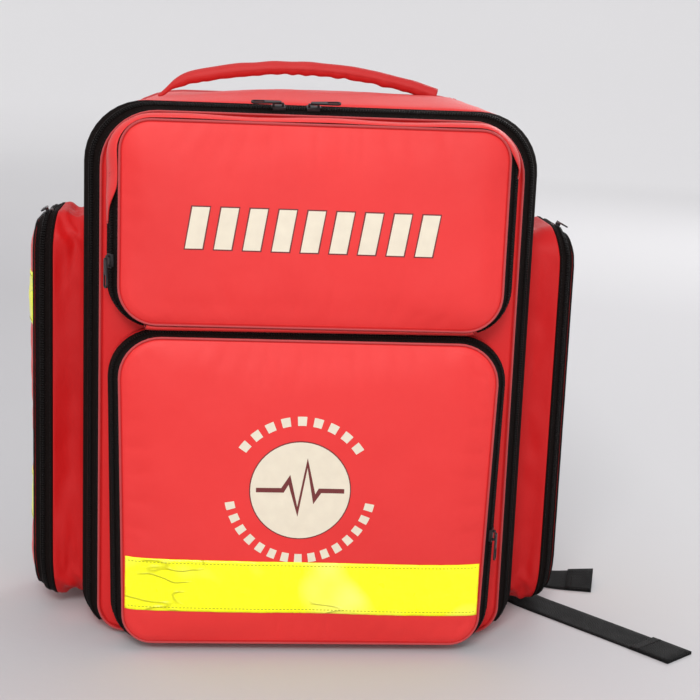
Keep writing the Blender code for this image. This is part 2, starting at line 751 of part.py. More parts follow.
def build_backpack():
    clear_scene()
    part_collection()
    build_main_compartment()
    build_back()
    lid_hinge = build_lid()
    build_front_pocket("upper", UPPER_RIM, UPPER_PIPING, UPPER_WALL_DEPTH, UPPER_SEAM, lid_hinge)
    lower_hinge = build_front_pocket(
        "lower", LOWER_RIM, LOWER_PIPING, LOWER_WALL_DEPTH, LOWER_SEAM, lid_hinge
    )
    build_reflective_band(lower_hinge)
    build_side_pocket("left", -1.0)
    build_side_pocket("right", 1.0)
    build_sliders(lid_hinge)
    build_handle()
    build_shoulder_strap("left", -1.0)
    build_shoulder_strap("right", 1.0)
    build_tails()


build_backpack()
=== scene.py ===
"""The looks of the trauma backpack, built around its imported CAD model."""
import math
from typing import NamedTuple

import bmesh
import bpy
import numpy as np
from mathutils import Matrix, Vector
from mathutils import noise as noise_field
from mathutils.bvhtree import BVHTree


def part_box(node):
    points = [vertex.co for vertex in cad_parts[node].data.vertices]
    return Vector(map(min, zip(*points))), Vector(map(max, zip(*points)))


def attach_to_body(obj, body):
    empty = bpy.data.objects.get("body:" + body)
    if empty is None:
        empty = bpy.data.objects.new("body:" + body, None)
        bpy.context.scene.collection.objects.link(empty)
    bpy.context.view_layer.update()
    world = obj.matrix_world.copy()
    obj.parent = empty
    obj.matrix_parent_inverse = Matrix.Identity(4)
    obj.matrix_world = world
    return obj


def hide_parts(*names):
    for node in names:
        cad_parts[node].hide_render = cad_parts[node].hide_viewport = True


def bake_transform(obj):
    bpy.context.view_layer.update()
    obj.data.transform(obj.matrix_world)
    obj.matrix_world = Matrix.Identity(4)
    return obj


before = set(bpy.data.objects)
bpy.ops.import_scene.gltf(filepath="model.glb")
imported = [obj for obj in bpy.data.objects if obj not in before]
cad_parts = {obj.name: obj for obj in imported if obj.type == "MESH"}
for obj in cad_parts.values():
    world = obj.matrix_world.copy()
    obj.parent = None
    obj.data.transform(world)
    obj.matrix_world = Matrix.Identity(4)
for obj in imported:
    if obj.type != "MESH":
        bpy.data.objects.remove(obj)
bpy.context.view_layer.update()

# ---------------------------------------------------------------- sizes from the frame

RIGHTWARD, BACKWARD, UPWARD = (1.0, 0.0, 0.0), (0.0, 1.0, 0.0), (0.0, 0.0, 1.0)
FORWARD = (0.0, -1.0, 0.0)
PIPING_RADIUS = 0.0020
CORD_SHARE, SEAM_SHARE = 0.52, 0.70  # of the piping's radius, for its cord and the cloth edge behind it
BINDING_RADIUS = 0.0024
HALF_CLOTH = 0.0015  # half of the main wall's thickness
WEBBING = 0.0014
WEBBING_WIDTH = 0.038
COIL_PITCH = 0.0023
STITCH_PITCH = 0.0034
PRINT_CELL = 0.006  # the grid that a print is cut into, so that it follows its cloth
PRINT_LIFTS = {"edge": 0.00012, "dash": 0.00020, "fill": 0.00028, "line": 0.00044}

ARC_STEPS = 10  # steps round a corner, up a side and across, on every outline
SIDE_STEPS = 32
CROSS_STEPS = 28

body_low, body_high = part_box("main_gusset")
lid_low, lid_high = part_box("lid_piping")
BODY_BACK = body_high.y
BODY_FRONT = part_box("main_zipper_body_half")[1].y
LID_SEAM = (lid_low.y + lid_high.y) / 2.0
LID_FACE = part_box("lid_panel")[0].y
UPPER_SEAM = sum(corner.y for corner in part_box("upper_flap")) / 2.0
LOWER_SEAM = sum(corner.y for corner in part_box("lower_flap")) / 2.0
UPPER_RIM_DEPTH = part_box("upper_zipper_inner_half")[1].y
LOWER_RIM_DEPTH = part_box("lower_zipper_inner_half")[1].y
SIDE_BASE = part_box("right_pocket_gusset")[0].x
SIDE_RIM = {-1: 0.2385, 1: 0.2412}
SIDE_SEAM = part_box("right_flap")[1].x - 0.002
SIDE_LOW_BEND = 0.055
SIDE_HIGH_BEND = 0.355
SIDE_BOTTOM_DROOP = 0.12
SIDE_TOP_DROOP = {-1: 0.08, 1: 0.18}
SIDE_TOP_PULL = {-1: 0.0, 1: 0.9}  # how far a pocket wall's folds are pulled flat at its top
WALL_SAG, WALL_FOLD, WALL_VALLEY = 0.0022, 0.0058, 0.0070  # how slack the side pockets' walls are
WALL_CREASE, END_CREASE = 0.0026, 0.0030  # fine creases, and how much deeper they are near the ends
END_OF_TAPE = {"main": 0.5, "pocket": 1.0 / 6.0}  # how much of a bottom corner has no zipper


class Outline(NamedTuple):
    """A rounded rectangle in a (u, v) plane; flare is how far each side leans out."""

    left: float
    right: float
    low: float
    high: float
    low_radius: float
    high_radius: float
    flare: float = 0.0

    def inset(self, distance):
        return Outline(
            self.left + distance,
            self.right - distance,
            self.low + distance,
            self.high - distance,
            self.low_radius - distance,
            self.high_radius - distance,
            self.flare,
        )

    def points(self):
        """Counterclockwise from the bottom right corner, the same count for every outline."""
        corners = (
            (self.right - self.flare - self.low_radius, self.low + self.low_radius, self.low_radius),
            (self.right - self.high_radius, self.high - self.high_radius, self.high_radius),
            (self.left + self.high_radius, self.high - self.high_radius, self.high_radius),
            (self.left + self.flare + self.low_radius, self.low + self.low_radius, self.low_radius),
        )
        arcs = []
        for quarter, (centre_u, centre_v, radius) in enumerate(corners):
            angles = np.radians(90.0 * (quarter - 1 + np.arange(ARC_STEPS + 1) / ARC_STEPS))
            arcs.append(np.stack([centre_u + radius * np.cos(angles), centre_v + radius * np.sin(angles)], 1))
        rows = []
        for quarter, steps in enumerate((SIDE_STEPS, CROSS_STEPS, SIDE_STEPS, CROSS_STEPS)):
            start, end = arcs[quarter][-1], arcs[(quarter + 1) % 4][0]
            shares = (np.arange(1, steps) / steps)[:, None]
            rows += [arcs[quarter], start + (end - start) * shares]
        return np.concatenate(rows)

    def edge_distance(self, points):
        """How far inside the outline each point is."""
        centre = np.array([(self.left + self.right) / 2.0, (self.low + self.high) / 2.0])
        radius = (self.low_radius + self.high_radius) / 2.0
        half = np.array([(self.right - self.left) / 2.0, (self.high - self.low) / 2.0]) - radius
        over = np.abs(points - centre) - half
        outside = np.linalg.norm(np.maximum(over, 0.0), axis=-1)
        return radius - outside - np.minimum(over.max(axis=-1), 0.0)


WELT_START, WELT_END = 38.0, 109.0  # where the upper wall folds over its zipper, in outline points
RING_COUNT = 4 * (ARC_STEPS + 1) + 2 * (SIDE_STEPS - 1) + 2 * (CROSS_STEPS - 1)
LAST_CORNER_END = RING_COUNT - CROSS_STEPS  # the end of the bottom left corner

BODY_RIM = Outline(body_low.x, body_high.x, body_low.z, body_high.z, 0.038, 0.056)
BACK_RIM = BODY_RIM._replace(high_radius=0.084)
LID_PIPING = Outline(
    lid_low.x + PIPING_RADIUS, lid_high.x - PIPING_RADIUS,
    lid_low.z + PIPING_RADIUS, lid_high.z - PIPING_RADIUS, 0.026, 0.050,
)
UPPER_RIM = Outline(-0.1840, 0.1840, 0.3015, 0.4885, 0.040, 0.036)
UPPER_PIPING = Outline(-0.1720, 0.1720, 0.3050, 0.4865, 0.034, 0.027)
LOWER_RIM = Outline(-0.1820, 0.1820, 0.0060, 0.2985, 0.034, 0.044, 0.004)
LOWER_PIPING = Outline(-0.1700, 0.1700, 0.0085, 0.2955, 0.027, 0.037, 0.005)
SIDE_RIM_OUTLINE = Outline(-0.052, 0.072, 0.0100, 0.3905, 0.030, 0.030)
SIDE_PIPING = Outline(-0.032, 0.052, 0.0190, 0.3800, 0.018, 0.018)


def front_plane(u, v, depth):
    """Points on the front: u to the right, v up, depth along Y."""
    return np.stack(np.broadcast_arrays(u, depth, v), -1).astype(float)


def side_plane(side):
    """Points on a side pocket, which sinks towards the body near its ends."""
    def placed(u, v, depth):
        u, v, depth = np.broadcast_arrays(np.asarray(u, float), v, depth)
        below = np.maximum(0.0, SIDE_LOW_BEND - v) / (SIDE_LOW_BEND - SIDE_RIM_OUTLINE.low)
        above = np.maximum(0.0, v - SIDE_HIGH_BEND) / (SIDE_RIM_OUTLINE.high - SIDE_HIGH_BEND)
        droop = SIDE_BOTTOM_DROOP * below ** 1.5 + SIDE_TOP_DROOP[side] * above ** 1.5
        x = side * (SIDE_BASE + (depth - SIDE_BASE) * (1.0 - droop))
        return np.stack([x, u, v], -1)
    return placed


def ring(outline, plane, depth):
    """An outline's points in space, at one depth."""
    points = outline.points()
    return plane(points[:, 0], points[:, 1], depth)


def run(row, first, last):
    """Part of a closed row, between two positions counted in points."""
    def at(position):
        index = math.floor(position)
        share = position - index
        return row[index % len(row)] * (1.0 - share) + row[(index + 1) % len(row)] * share
    inside = [row[index % len(row)] for index in range(math.floor(first) + 1, math.ceil(last))]
    return np.array([at(first), *inside, at(last)])


def ease(value):
    """0 below 0, 1 above 1 and a smooth step between."""
    share = np.clip(value, 0.0, 1.0)
    return share * share * (3.0 - 2.0 * share)


def smooth_noise(point, scale, seed=0.0):
    """A value of about -1 to 1 that changes slowly from place to place; no random draw."""
    return noise_field.noise(Vector(point) * scale + Vector((seed, 1.7 * seed, 3.1 * seed)))


# ---------------------------------------------------------------- materials

class Look:
    """A procedural material under construction."""

    def __init__(self, name, colour, roughness, metallic=0.0, **shader_values):
        self.material = bpy.data.materials.new(name)
        self.material.use_nodes = True
        self.tree = self.material.node_tree
        self.shader = self.tree.nodes["Principled BSDF"]
        self.shader.inputs["Base Color"].default_value = (*colour, 1.0)
        self.shader.inputs["Roughness"].default_value = roughness
        self.shader.inputs["Metallic"].default_value = metallic
        for socket, value in shader_values.items():
            self.shader.inputs[socket.replace("_", " ")].default_value = value
        self.colour = (*colour, 1.0)
        self.roughness = roughness
        self.heights = []

    def node(self, kind, **settings):
        made = self.tree.nodes.new(kind)
        for key, value in settings.items():
            setattr(made, key, value)
        return made

    def link(self, source, target):
        self.tree.links.new(source, target)

    def math(self, operation, first, second=0.0):
        made = self.node("ShaderNodeMath", operation=operation)
        for socket, value in zip(made.inputs, (first, second)):
            if isinstance(value, (int, float)):
                socket.default_value = value
            else:
                self.link(value, socket)
        return made.outputs[0]

    def cloth_position(self):
        """Where a point lies on its flat cloth: across and along, in metres."""
        attribute = self.node("ShaderNodeAttribute", attribute_name="lay")
        separate = self.node("ShaderNodeSeparateXYZ")
        self.link(attribute.outputs["Vector"], separate.inputs[0])
        return separate.outputs[0], separate.outputs[1]

    def noise(self, scale, detail=3.0, stretch=(1.0, 1.0, 1.0)):
        coordinates = self.node("ShaderNodeTexCoord")
        stretched = self.node("ShaderNodeMapping")
        stretched.inputs["Scale"].default_value = [scale * share for share in stretch]
        texture = self.node("ShaderNodeTexNoise")
        texture.inputs["Scale"].default_value = 1.0
        texture.inputs["Detail"].default_value = detail
        self.link(coordinates.outputs["Object"], stretched.inputs["Vector"])
        self.link(stretched.outputs["Vector"], texture.inputs["Vector"])
        return texture.outputs["Fac"]

    def wave(self, position, pitch):
        return self.math("SINE", self.math("MULTIPLY", position, 2.0 * math.pi / pitch))

    def above(self, value, gain, floor):
        """What is left of a value times a gain above a floor."""
        return self.math("MAXIMUM", self.math("SUBTRACT", self.math("MULTIPLY", value, gain), floor), 0.0)

    def weave(self, pitch_across, pitch_along, height):
        """Over-and-under threads of a plain weave."""
        across, along = self.cloth_position()
        threads = self.math("MULTIPLY", self.wave(across, pitch_across), self.wave(along, pitch_along))
        self.heights.append((threads, height))
        return threads

    def grain(self, scale, height, detail=4.0):
        self.heights.append((self.noise(scale, detail), height))

    def vary_colour(self, factor, other, strength):
        """Mix towards another colour by a noise, on top of what is there."""
        mix = self.node("ShaderNodeMix", data_type="RGBA", blend_type="MIX")
        self.link(self.math("MULTIPLY", factor, strength), mix.inputs["Factor"])
        incoming = self.shader.inputs["Base Color"].links
        if incoming:
            self.link(incoming[0].from_socket, mix.inputs["A"])
        else:
            mix.inputs["A"].default_value = self.colour
        mix.inputs["B"].default_value = (*other, 1.0)
        self.link(mix.outputs["Result"], self.shader.inputs["Base Color"])

    def vary_roughness(self, factor, spread):
        low = self.roughness - spread / 2.0
        value = self.math("ADD", self.math("MULTIPLY", factor, spread), low)
        self.link(value, self.shader.inputs["Roughness"])

    def done(self):
        """Chain one Bump node per height, so that each keeps its own depth in metres."""
        normal = None
        for value, height in self.heights:
            bump = self.node("ShaderNodeBump")
            bump.inputs["Strength"].default_value = 1.0
            bump.inputs["Distance"].default_value = height
            self.link(value, bump.inputs["Height"])
            if normal is not None:
                self.link(normal, bump.inputs["Normal"])
            normal = bump.outputs["Normal"]
        if normal is not None:
            self.link(normal, self.shader.inputs["Normal"])
        return self.material


def coated_cloth(name, colour, dark, light, roughness=0.50, sheen=0.12, gloss=0.42):
    """Polyester with a smooth coating: fine weave, soft creases, a satin sheen and soft darker areas that are
    partly painted shade.
    """
    look = Look(name, colour, roughness, Sheen_Weight=sheen, Sheen_Roughness=0.35, Coat_Weight=gloss * 0.14,
                Coat_Roughness=0.35, Specular_IOR_Level=gloss)
    look.vary_colour(look.noise(7.0, 2.0), dark, 0.25)
    # Soft darker areas: partly uneven tone of the cloth, partly painted shade of broad dents.
    tone_and_shade_patches = look.math("MULTIPLY", look.math("SUBTRACT", look.noise(5.0, 1.0), 0.42), 4.0)
    look.vary_colour(look.math("MINIMUM", look.math("MAXIMUM", tone_and_shade_patches, 0.0), 1.0), dark, 0.34)
    look.vary_colour(look.noise(160.0, 2.0), light, 0.10)
    threads = look.weave(0.0011, 0.0011, 0.00005)
    look.vary_colour(look.math("MAXIMUM", threads, 0.0), dark, 0.10)
    look.vary_roughness(look.noise(45.0), 0.16)
    look.grain(26.0, 0.0009, 2.0)
    look.grain(420.0, 0.00006)
    return look.done()


def zipper_cloth():
    look = Look("zipper_tape_black", (0.0046, 0.0022, 0.0018), 0.75, Specular_IOR_Level=0.06)
    across, along = look.cloth_position()
    slanted = look.math("ADD", look.wave(along, 0.0016), look.wave(look.math("ADD", along, across), 0.0012))
    look.heights.append((slanted, 0.00007))
    look.heights.append((look.wave(across, 0.0024), 0.00010))
    look.vary_colour(look.math("MAXIMUM", slanted, 0.0), (0.011, 0.007, 0.006), 0.35)
    look.vary_colour(look.noise(30.0), (0.008, 0.0045, 0.004), 0.6)
    look.vary_roughness(look.noise(60.0), 0.15)
    return look.done()


def webbing_cloth():
    look = Look("webbing_black", (0.0050, 0.0050, 0.0053), 0.66, Specular_IOR_Level=0.12)
    across, along = look.cloth_position()
    ribs = look.wave(along, 0.0021)
    shifted = look.math("ADD", across, look.math("MULTIPLY", look.wave(along, 0.0042), 0.0004))
    cords = look.wave(shifted, 0.0030)
    crossed = look.math("MULTIPLY", ribs, cords)
    look.heights.append((crossed, 0.00022))
    look.heights.append((cords, 0.00012))
    look.vary_colour(look.math("MAXIMUM", crossed, 0.0), (0.016, 0.0155, 0.0155), 0.5)
    look.vary_colour(look.noise(55.0), (0.010, 0.0098, 0.0098), 0.5)
    look.vary_roughness(look.noise(80.0), 0.2)
    return look.done()


def spacer_mesh():
    """Black padding cloth with a grid of small dimples."""
    look = Look("spacer_mesh_black", (0.0105, 0.0105, 0.0112), 0.75, Sheen_Weight=0.08, Sheen_Roughness=0.5,
                Specular_IOR_Level=0.25)
    across, along = look.cloth_position()
    holes = look.math("MULTIPLY", look.wave(across, 0.0052), look.wave(along, 0.0052))
    dimples = look.math("SUBTRACT", 1.0, look.math("POWER", look.math("ABSOLUTE", holes), 1.5))
    look.heights.append((dimples, 0.0005))
    look.vary_colour(look.math("ABSOLUTE", holes), (0.0015, 0.0015, 0.0015), 0.85)
    look.grain(500.0, 0.00015)
    look.vary_roughness(look.noise(70.0), 0.15)
    return look.done()


def reflective_plastic():
    """Fluorescent yellow tape: tiny prisms under a glossy film, with fine creases; a faint painted glow,
    painted shade along the creases and pale painted highlights.
    """
    # The emission is a faint painted glow.
    look = Look("reflective_yellow", (0.94, 0.95, 0.005), 0.30, Coat_Weight=0.35, Coat_Roughness=0.12,
                Specular_IOR_Level=0.35, Emission_Color=(0.90, 0.92, 0.0, 1.0), Emission_Strength=0.15)
    across, along = look.cloth_position()
    cells = look.math("MULTIPLY", look.wave(look.math("ADD", across, along), 0.0030),
                      look.wave(look.math("SUBTRACT", across, along), 0.0030))
    look.heights.append((cells, 0.00004))
    look.vary_colour(look.math("MAXIMUM", cells, 0.0), (0.80, 0.82, 0.004), 0.25)
    look.vary_colour(look.noise(14.0, 4.0), (0.78, 0.80, 0.0), 0.35)
    # Thin crease lines: darkened in colour as painted shade, and also raised below as real creases in the
    # bump.
    apart = look.math("ABSOLUTE", look.math("SUBTRACT", look.noise(19.0, 1.0, (1.0, 1.0, 2.6)), 0.5))
    crease = look.math("MAXIMUM", look.math("SUBTRACT", 1.0, look.math("MULTIPLY", apart, 32.0)), 0.0)
    here = look.math("MINIMUM", look.above(look.noise(23.0, 0.0), 9.0, 5.2), 1.0)
    crease = look.math("MULTIPLY", crease, here)
    look.vary_colour(crease, (0.42, 0.40, 0.0), 0.62)
    # Pale areas: painted highlights on the glossy film.
    pale = look.math("MINIMUM", look.above(look.noise(16.0, 1.0), 6.0, 3.3), 1.0)
    look.vary_colour(pale, (1.0, 1.0, 0.30), 0.60)
    look.heights.append((crease, 0.0010))
    look.grain(36.0, 0.0022, 3.0)
    look.vary_roughness(look.noise(90.0), 0.14)
    return look.done()


def plain_look(name, colour, roughness, grain_scale, grain_height, metallic=0.0, **shader_values):
    """A solid material with a fine grain and uneven gloss."""
    look = Look(name, colour, roughness, metallic, **shader_values)
    lighter = tuple(min(1.0, channel * 1.5 + 0.004) for channel in colour)
    look.vary_colour(look.noise(grain_scale * 0.2), lighter, 0.4)
    look.grain(grain_scale, grain_height)
    look.vary_roughness(look.noise(grain_scale * 0.5), 0.12)
    return look.done()


RED = coated_cloth("red_polyester", (0.80, 0.026, 0.024), (0.60, 0.012, 0.013), (0.90, 0.060, 0.050))
# Darker copy of the red cloth: painted shade for the recessed, folded-in pocket walls and the cloth edge
# behind the piping.
SHADED_WALL_RED = coated_cloth("red_polyester_walls_painted_shade", (0.55, 0.009, 0.010), (0.40, 0.005, 0.006),
                        (0.68, 0.022, 0.020), sheen=0.02, gloss=0.20)
# Darker copy of the red cloth: painted shade for the lid panel, recessed between the flaps.
SHADED_LID_RED = coated_cloth("red_polyester_lid_painted_shade", (0.67, 0.016, 0.016), (0.50, 0.008, 0.009),
                       (0.78, 0.038, 0.034), sheen=0.03, gloss=0.25)
HANDLE_RED = coated_cloth("red_polyester_handle", (0.54, 0.021, 0.020), (0.40, 0.009, 0.010),
                          (0.64, 0.045, 0.040), sheen=0.05, gloss=0.25)
PIPING_RED = coated_cloth("red_piping", (0.49, 0.058, 0.060), (0.38, 0.022, 0.024),
                          (0.60, 0.11, 0.105), roughness=0.45, sheen=0.08, gloss=0.28)
LINING = coated_cloth("dark_red_lining", (0.30, 0.012, 0.014), (0.20, 0.008, 0.009),
                      (0.36, 0.03, 0.03), roughness=0.65)
BLACK_CLOTH = coated_cloth("black_polyester", (0.0060, 0.0055, 0.0055), (0.0035, 0.0030, 0.0030),
                           (0.014, 0.0135, 0.013), roughness=0.60, sheen=0.02, gloss=0.18)
ZIPPER = zipper_cloth()
WEB = webbing_cloth()
MESH_PAD = spacer_mesh()
YELLOW = reflective_plastic()
COIL = plain_look("zipper_coil", (0.0036, 0.0024, 0.0021), 0.48, 900.0, 0.00003, Specular_IOR_Level=0.09)
GUNMETAL = plain_look("slider_gunmetal", (0.040, 0.038, 0.040), 0.36, 500.0, 0.00004, 0.85)
BUCKLE = plain_look("buckle_plastic_black", (0.014, 0.014, 0.015), 0.42, 700.0, 0.00006)
BOARD = plain_look("stiffener_black", (0.03, 0.03, 0.031), 0.5, 300.0, 0.00008)
RED_THREAD = plain_look("red_thread", (0.66, 0.02, 0.02), 0.6, 900.0, 0.00003)
BLACK_THREAD = plain_look("black_thread", (0.010, 0.008, 0.008), 0.6, 900.0, 0.00003, Specular_IOR_Level=0.15)
YELLOW_THREAD = plain_look("yellow_thread", (0.34, 0.32, 0.004), 0.6, 900.0, 0.00003)
PRINT = plain_look("off_white_print", (0.70, 0.62, 0.49), 0.55, 420.0, 0.00005)
PRINT_EDGE = plain_look("dark_print_edge", (0.13, 0.012, 0.012), 0.5, 420.0, 0.00004)


# ---------------------------------------------------------------- mesh tools

def in_scene(name, data):
    """A new object that holds this data, linked to the scene."""
    made = bpy.data.objects.new(name, data)
    bpy.context.scene.collection.objects.link(made)
    return made


def add_piece(name, vertices, faces, materials, lay=None, smooth=True, face_materials=None):
    """A mesh piece; lay is each vertex's place on the flat cloth, for the weave."""
    mesh = bpy.data.meshes.new(name)
    mesh.from_pydata([tuple(point) for point in vertices], [], faces)
    mesh.validate()
    for material in materials:
        mesh.materials.append(material)
    if lay is not None:
        attribute = mesh.attributes.new("lay", "FLOAT_VECTOR", "POINT")
        attribute.data.foreach_set("vector", np.asarray(lay, np.float32).ravel())
    if face_materials is not None:
        mesh.polygons.foreach_set("material_index", face_materials)
    if smooth:
        mesh.shade_smooth()
    return in_scene(name, mesh)


def attach(piece, body, node=None):
    """Attach a piece to the body it moves with, and hide the CAD node it replaces."""
    if node is not None:
        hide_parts(node)
    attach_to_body(piece, body)


def between(near, far, reach):
    """A grid of rows from one row of points to another; reach is each row's share of the way."""
    return near[None] + (far - near)[None] * np.asarray(reach).reshape(len(reach), -1, 1)


def away_from(centre, weights, lean=(0.0, 0.0, 0.0)):
    """A function that says which way is outward at each point of a piece round a centre."""
    return lambda points: (points - centre) * np.array(weights) + np.array(lean)


def mend_normals(piece):
    """Turn every face of a closed mesh outwards."""
    builder = bmesh.new()
    builder.from_mesh(piece.data)
    bmesh.ops.recalc_face_normals(builder, faces=builder.faces)
    builder.to_mesh(piece.data)
    builder.free()
    return piece


def lengths_along(path):
    """How far along a path each of its points lies."""
    return np.concatenate([[0.0], np.cumsum(np.linalg.norm(np.diff(path, axis=0), axis=1))])


def unit(vectors, least=1e-9):
    """Vectors scaled to length 1; least keeps those of no length from a division by zero."""
    return vectors / np.maximum(np.linalg.norm(vectors, axis=-1, keepdims=True), least)


def nearest_of(points, candidates):
    """The index of the candidate that each point is nearest to."""
    return ((points[:, None, :] - candidates[None, :, :]) ** 2).sum(2).argmin(1)


def grid_faces(rows, columns, closed=False, offset=0):
    faces = []
    for row in range(rows - 1):
        for column in range(columns if closed else columns - 1):
            following = (column + 1) % columns
            a, b = offset + row * columns + column, offset + row * columns + following
            faces.append((a, b, b + columns, a + columns))
    return faces


def slab_faces(rows, columns):
    """The faces of a slab between two grids: outer side, inner side and rim; and its border's vertices."""
    count = rows * columns
    outer_side = grid_faces(rows, columns)
    inner_side = [tuple(index + count for index in reversed(face)) for face in outer_side]
    border = [*range(columns), *(columns * (row + 1) - 1 for row in range(1, rows)),
              *(count - 2 - column for column in range(columns - 1)),
              *(columns * row for row in range(rows - 2, 0, -1))]
    rim = [(a, b, b + count, a + count) for a, b in zip(border, border[1:] + border[:1])]
    return outer_side, inner_side, rim, border


def lay_of(grid):
    """Cloth coordinates of a grid of points: along its columns and across its rows."""
    across_steps = np.linalg.norm(np.diff(grid, axis=0), axis=2).mean(1)
    lay = np.zeros(grid.shape)
    lay[..., 0] = np.concatenate([[0.0], np.cumsum(across_steps)])[:, None]
    lay[..., 1] = lengths_along(grid.mean(0))[None, :]
    return lay


def surface_normals(grid, closed=False):
    """Unit normals of a grid of points, in the sense of rows crossed with columns."""
    if closed:
        along = np.roll(grid, -1, 1) - np.roll(grid, 1, 1)
    else:
        along = np.gradient(grid, axis=1)
    return unit(np.cross(np.gradient(grid, axis=0), along), 1e-12)


def outward_normals(grid, outward, closed=False):
    """A grid's unit normals, turned to the side that outward points to."""
    normals = surface_normals(grid, closed)
    return -normals if (normals * outward(grid)).sum(2).mean() < 0.0 else normals


def cloth_sheet(name, grid, thickness, materials, closed=False, outward=None, inner_material=0):
    """A cloth surface with thickness: outer grid, inner grid and the edges between them."""
    normals = surface_normals(grid, closed) if outward is None else outward_normals(grid, outward, closed)
    outer, inner = grid + normals * thickness / 2.0, grid - normals * thickness / 2.0
    rows, columns = grid.shape[:2]
    lay = lay_of(grid)
    vertices = np.concatenate([outer.reshape(-1, 3), inner.reshape(-1, 3)])
    lays = np.concatenate([lay.reshape(-1, 3), lay.reshape(-1, 3)])
    shell = grid_faces(rows, columns, closed)
    count = rows * columns
    back = [tuple(index + count for index in reversed(face)) for face in shell]
    edges = []
    span = columns if closed else columns - 1
    for row, flip in ((0, False), (rows - 1, True)):
        for column in range(span):
            a, b = row * columns + column, row * columns + (column + 1) % columns
            face = (a, a + count, b + count, b)
            edges.append(tuple(reversed(face)) if flip else face)
    if not closed:
        for column, flip in ((0, True), (columns - 1, False)):
            for row in range(rows - 1):
                a, b = row * columns + column, (row + 1) * columns + column
                face = (a, a + count, b + count, b)
                edges.append(tuple(reversed(face)) if flip else face)
    indices = [0] * len(shell) + [inner_material] * len(back) + [0] * len(edges)
    piece = add_piece(name, vertices, shell + back + edges, materials, lays, True, indices)
    return mend_normals(piece)


def swept_tube(name, path, radius, material, sides=8, closed=False, squash=1.0, wobble=0.0,
               up=UPWARD):
    """A tube along a path; squash flattens it along its own up direction."""
    path = np.asarray(path, float)
    count = len(path)
    tangents = unit(np.roll(path, -1, 0) - np.roll(path, 1, 0) if closed else np.gradient(path, axis=0))
    across = unit(np.cross(tangents, np.asarray(up, float)))
    rise = np.cross(across, tangents)
    angles = np.arange(sides) * 2.0 * math.pi / sides
    lengths = lengths_along(path)
    radii = np.full(count, radius) if np.isscalar(radius) else np.asarray(radius)
    vertices, lay = [], []
    for index in range(count):
        unevenness = wobble * math.sin(lengths[index] * 410.0) * math.sin(lengths[index] * 97.0)
        local = radii[index] * (1.0 + unevenness)
        for angle in angles:
            vertices.append(path[index] + across[index] * math.cos(angle) * local
                            + rise[index] * math.sin(angle) * local * squash)
            lay.append((angle * radii[index], lengths[index], 0.0))
    faces = []
    for index in range(count if closed else count - 1):
        following = (index + 1) % count
        for side in range(sides):
            neighbour = (side + 1) % sides
            faces.append((index * sides + side, index * sides + neighbour,
                          following * sides + neighbour, following * sides + side))
    if not closed:
        faces.append(tuple(reversed(range(sides))))
        faces.append(tuple((count - 1) * sides + side for side in range(sides)))
    return mend_normals(add_piece(name, vertices, faces, [material], lay))


def resample(path, pitch, closed=False):
    """Evenly spaced points on a path, with the direction of the path at each."""
    path = np.asarray(path, float)
    if closed:
        path = np.concatenate([path, path[:1]])
    lengths = lengths_along(path)
    count = max(2, int(lengths[-1] / pitch))
    targets = (np.arange(count) + 0.5) * lengths[-1] / count
    points = np.stack([np.interp(targets, lengths, path[:, axis]) for axis in range(3)], 1)
    segment = np.clip(np.searchsorted(lengths, targets) - 1, 0, len(path) - 2)
    return points, unit(path[segment + 1] - path[segment])


def stamp(name, template, faces, origins, axes, material):
    """Copies of a small shape, as one piece; axes holds each copy's three directions."""
    template = np.asarray(template, float)
    vertices = np.einsum("vk,nkc->nvc", template, axes) + origins[:, None, :]
    starts = range(0, len(origins) * len(template), len(template))
    all_faces = [tuple(start + index for index in face) for start in starts for face in faces]
    return mend_normals(add_piece(name, vertices.reshape(-1, 3), all_faces, [material]))


def stitch_row(name, path, normals, material, pitch=STITCH_PITCH, closed=False, body=None, radius=0.00032):
    """A row of lockstitches that lie on a surface."""
    points, directions = resample(path, pitch, closed)
    if np.ndim(normals) == 2:
        out = np.asarray(normals, float)[nearest_of(points, np.asarray(path, float))]
    else:
        out = np.tile(normals, (len(points), 1))
    across = unit(np.cross(out, directions))
    half, waist = 0.36 * pitch, 0.22 * pitch  # of the stitch's length and of its full middle
    sunk = 0.3 * radius  # how far its ends dip under the cloth
    sides = 6
    template = [(-half, 0.0, -sunk)]
    for along in (-waist, waist):
        for side in range(sides):
            angle = 2.0 * math.pi * side / sides
            template.append((along, radius * math.cos(angle), radius * math.sin(angle) + sunk))
    template.append((half, 0.0, -sunk))
    faces = [(0, 1 + (side + 1) % sides, 1 + side) for side in range(sides)]
    faces += [(1 + side, 1 + (side + 1) % sides, 1 + sides + (side + 1) % sides, 1 + sides + side)
              for side in range(sides)]
    last = 1 + 2 * sides
    faces += [(last, 1 + sides + side, 1 + sides + (side + 1) % sides) for side in range(sides)]
    piece = stamp(name, template, faces, points, np.stack([directions, across, out], 1), material)
    if body is not None:
        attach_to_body(piece, body)
    return piece


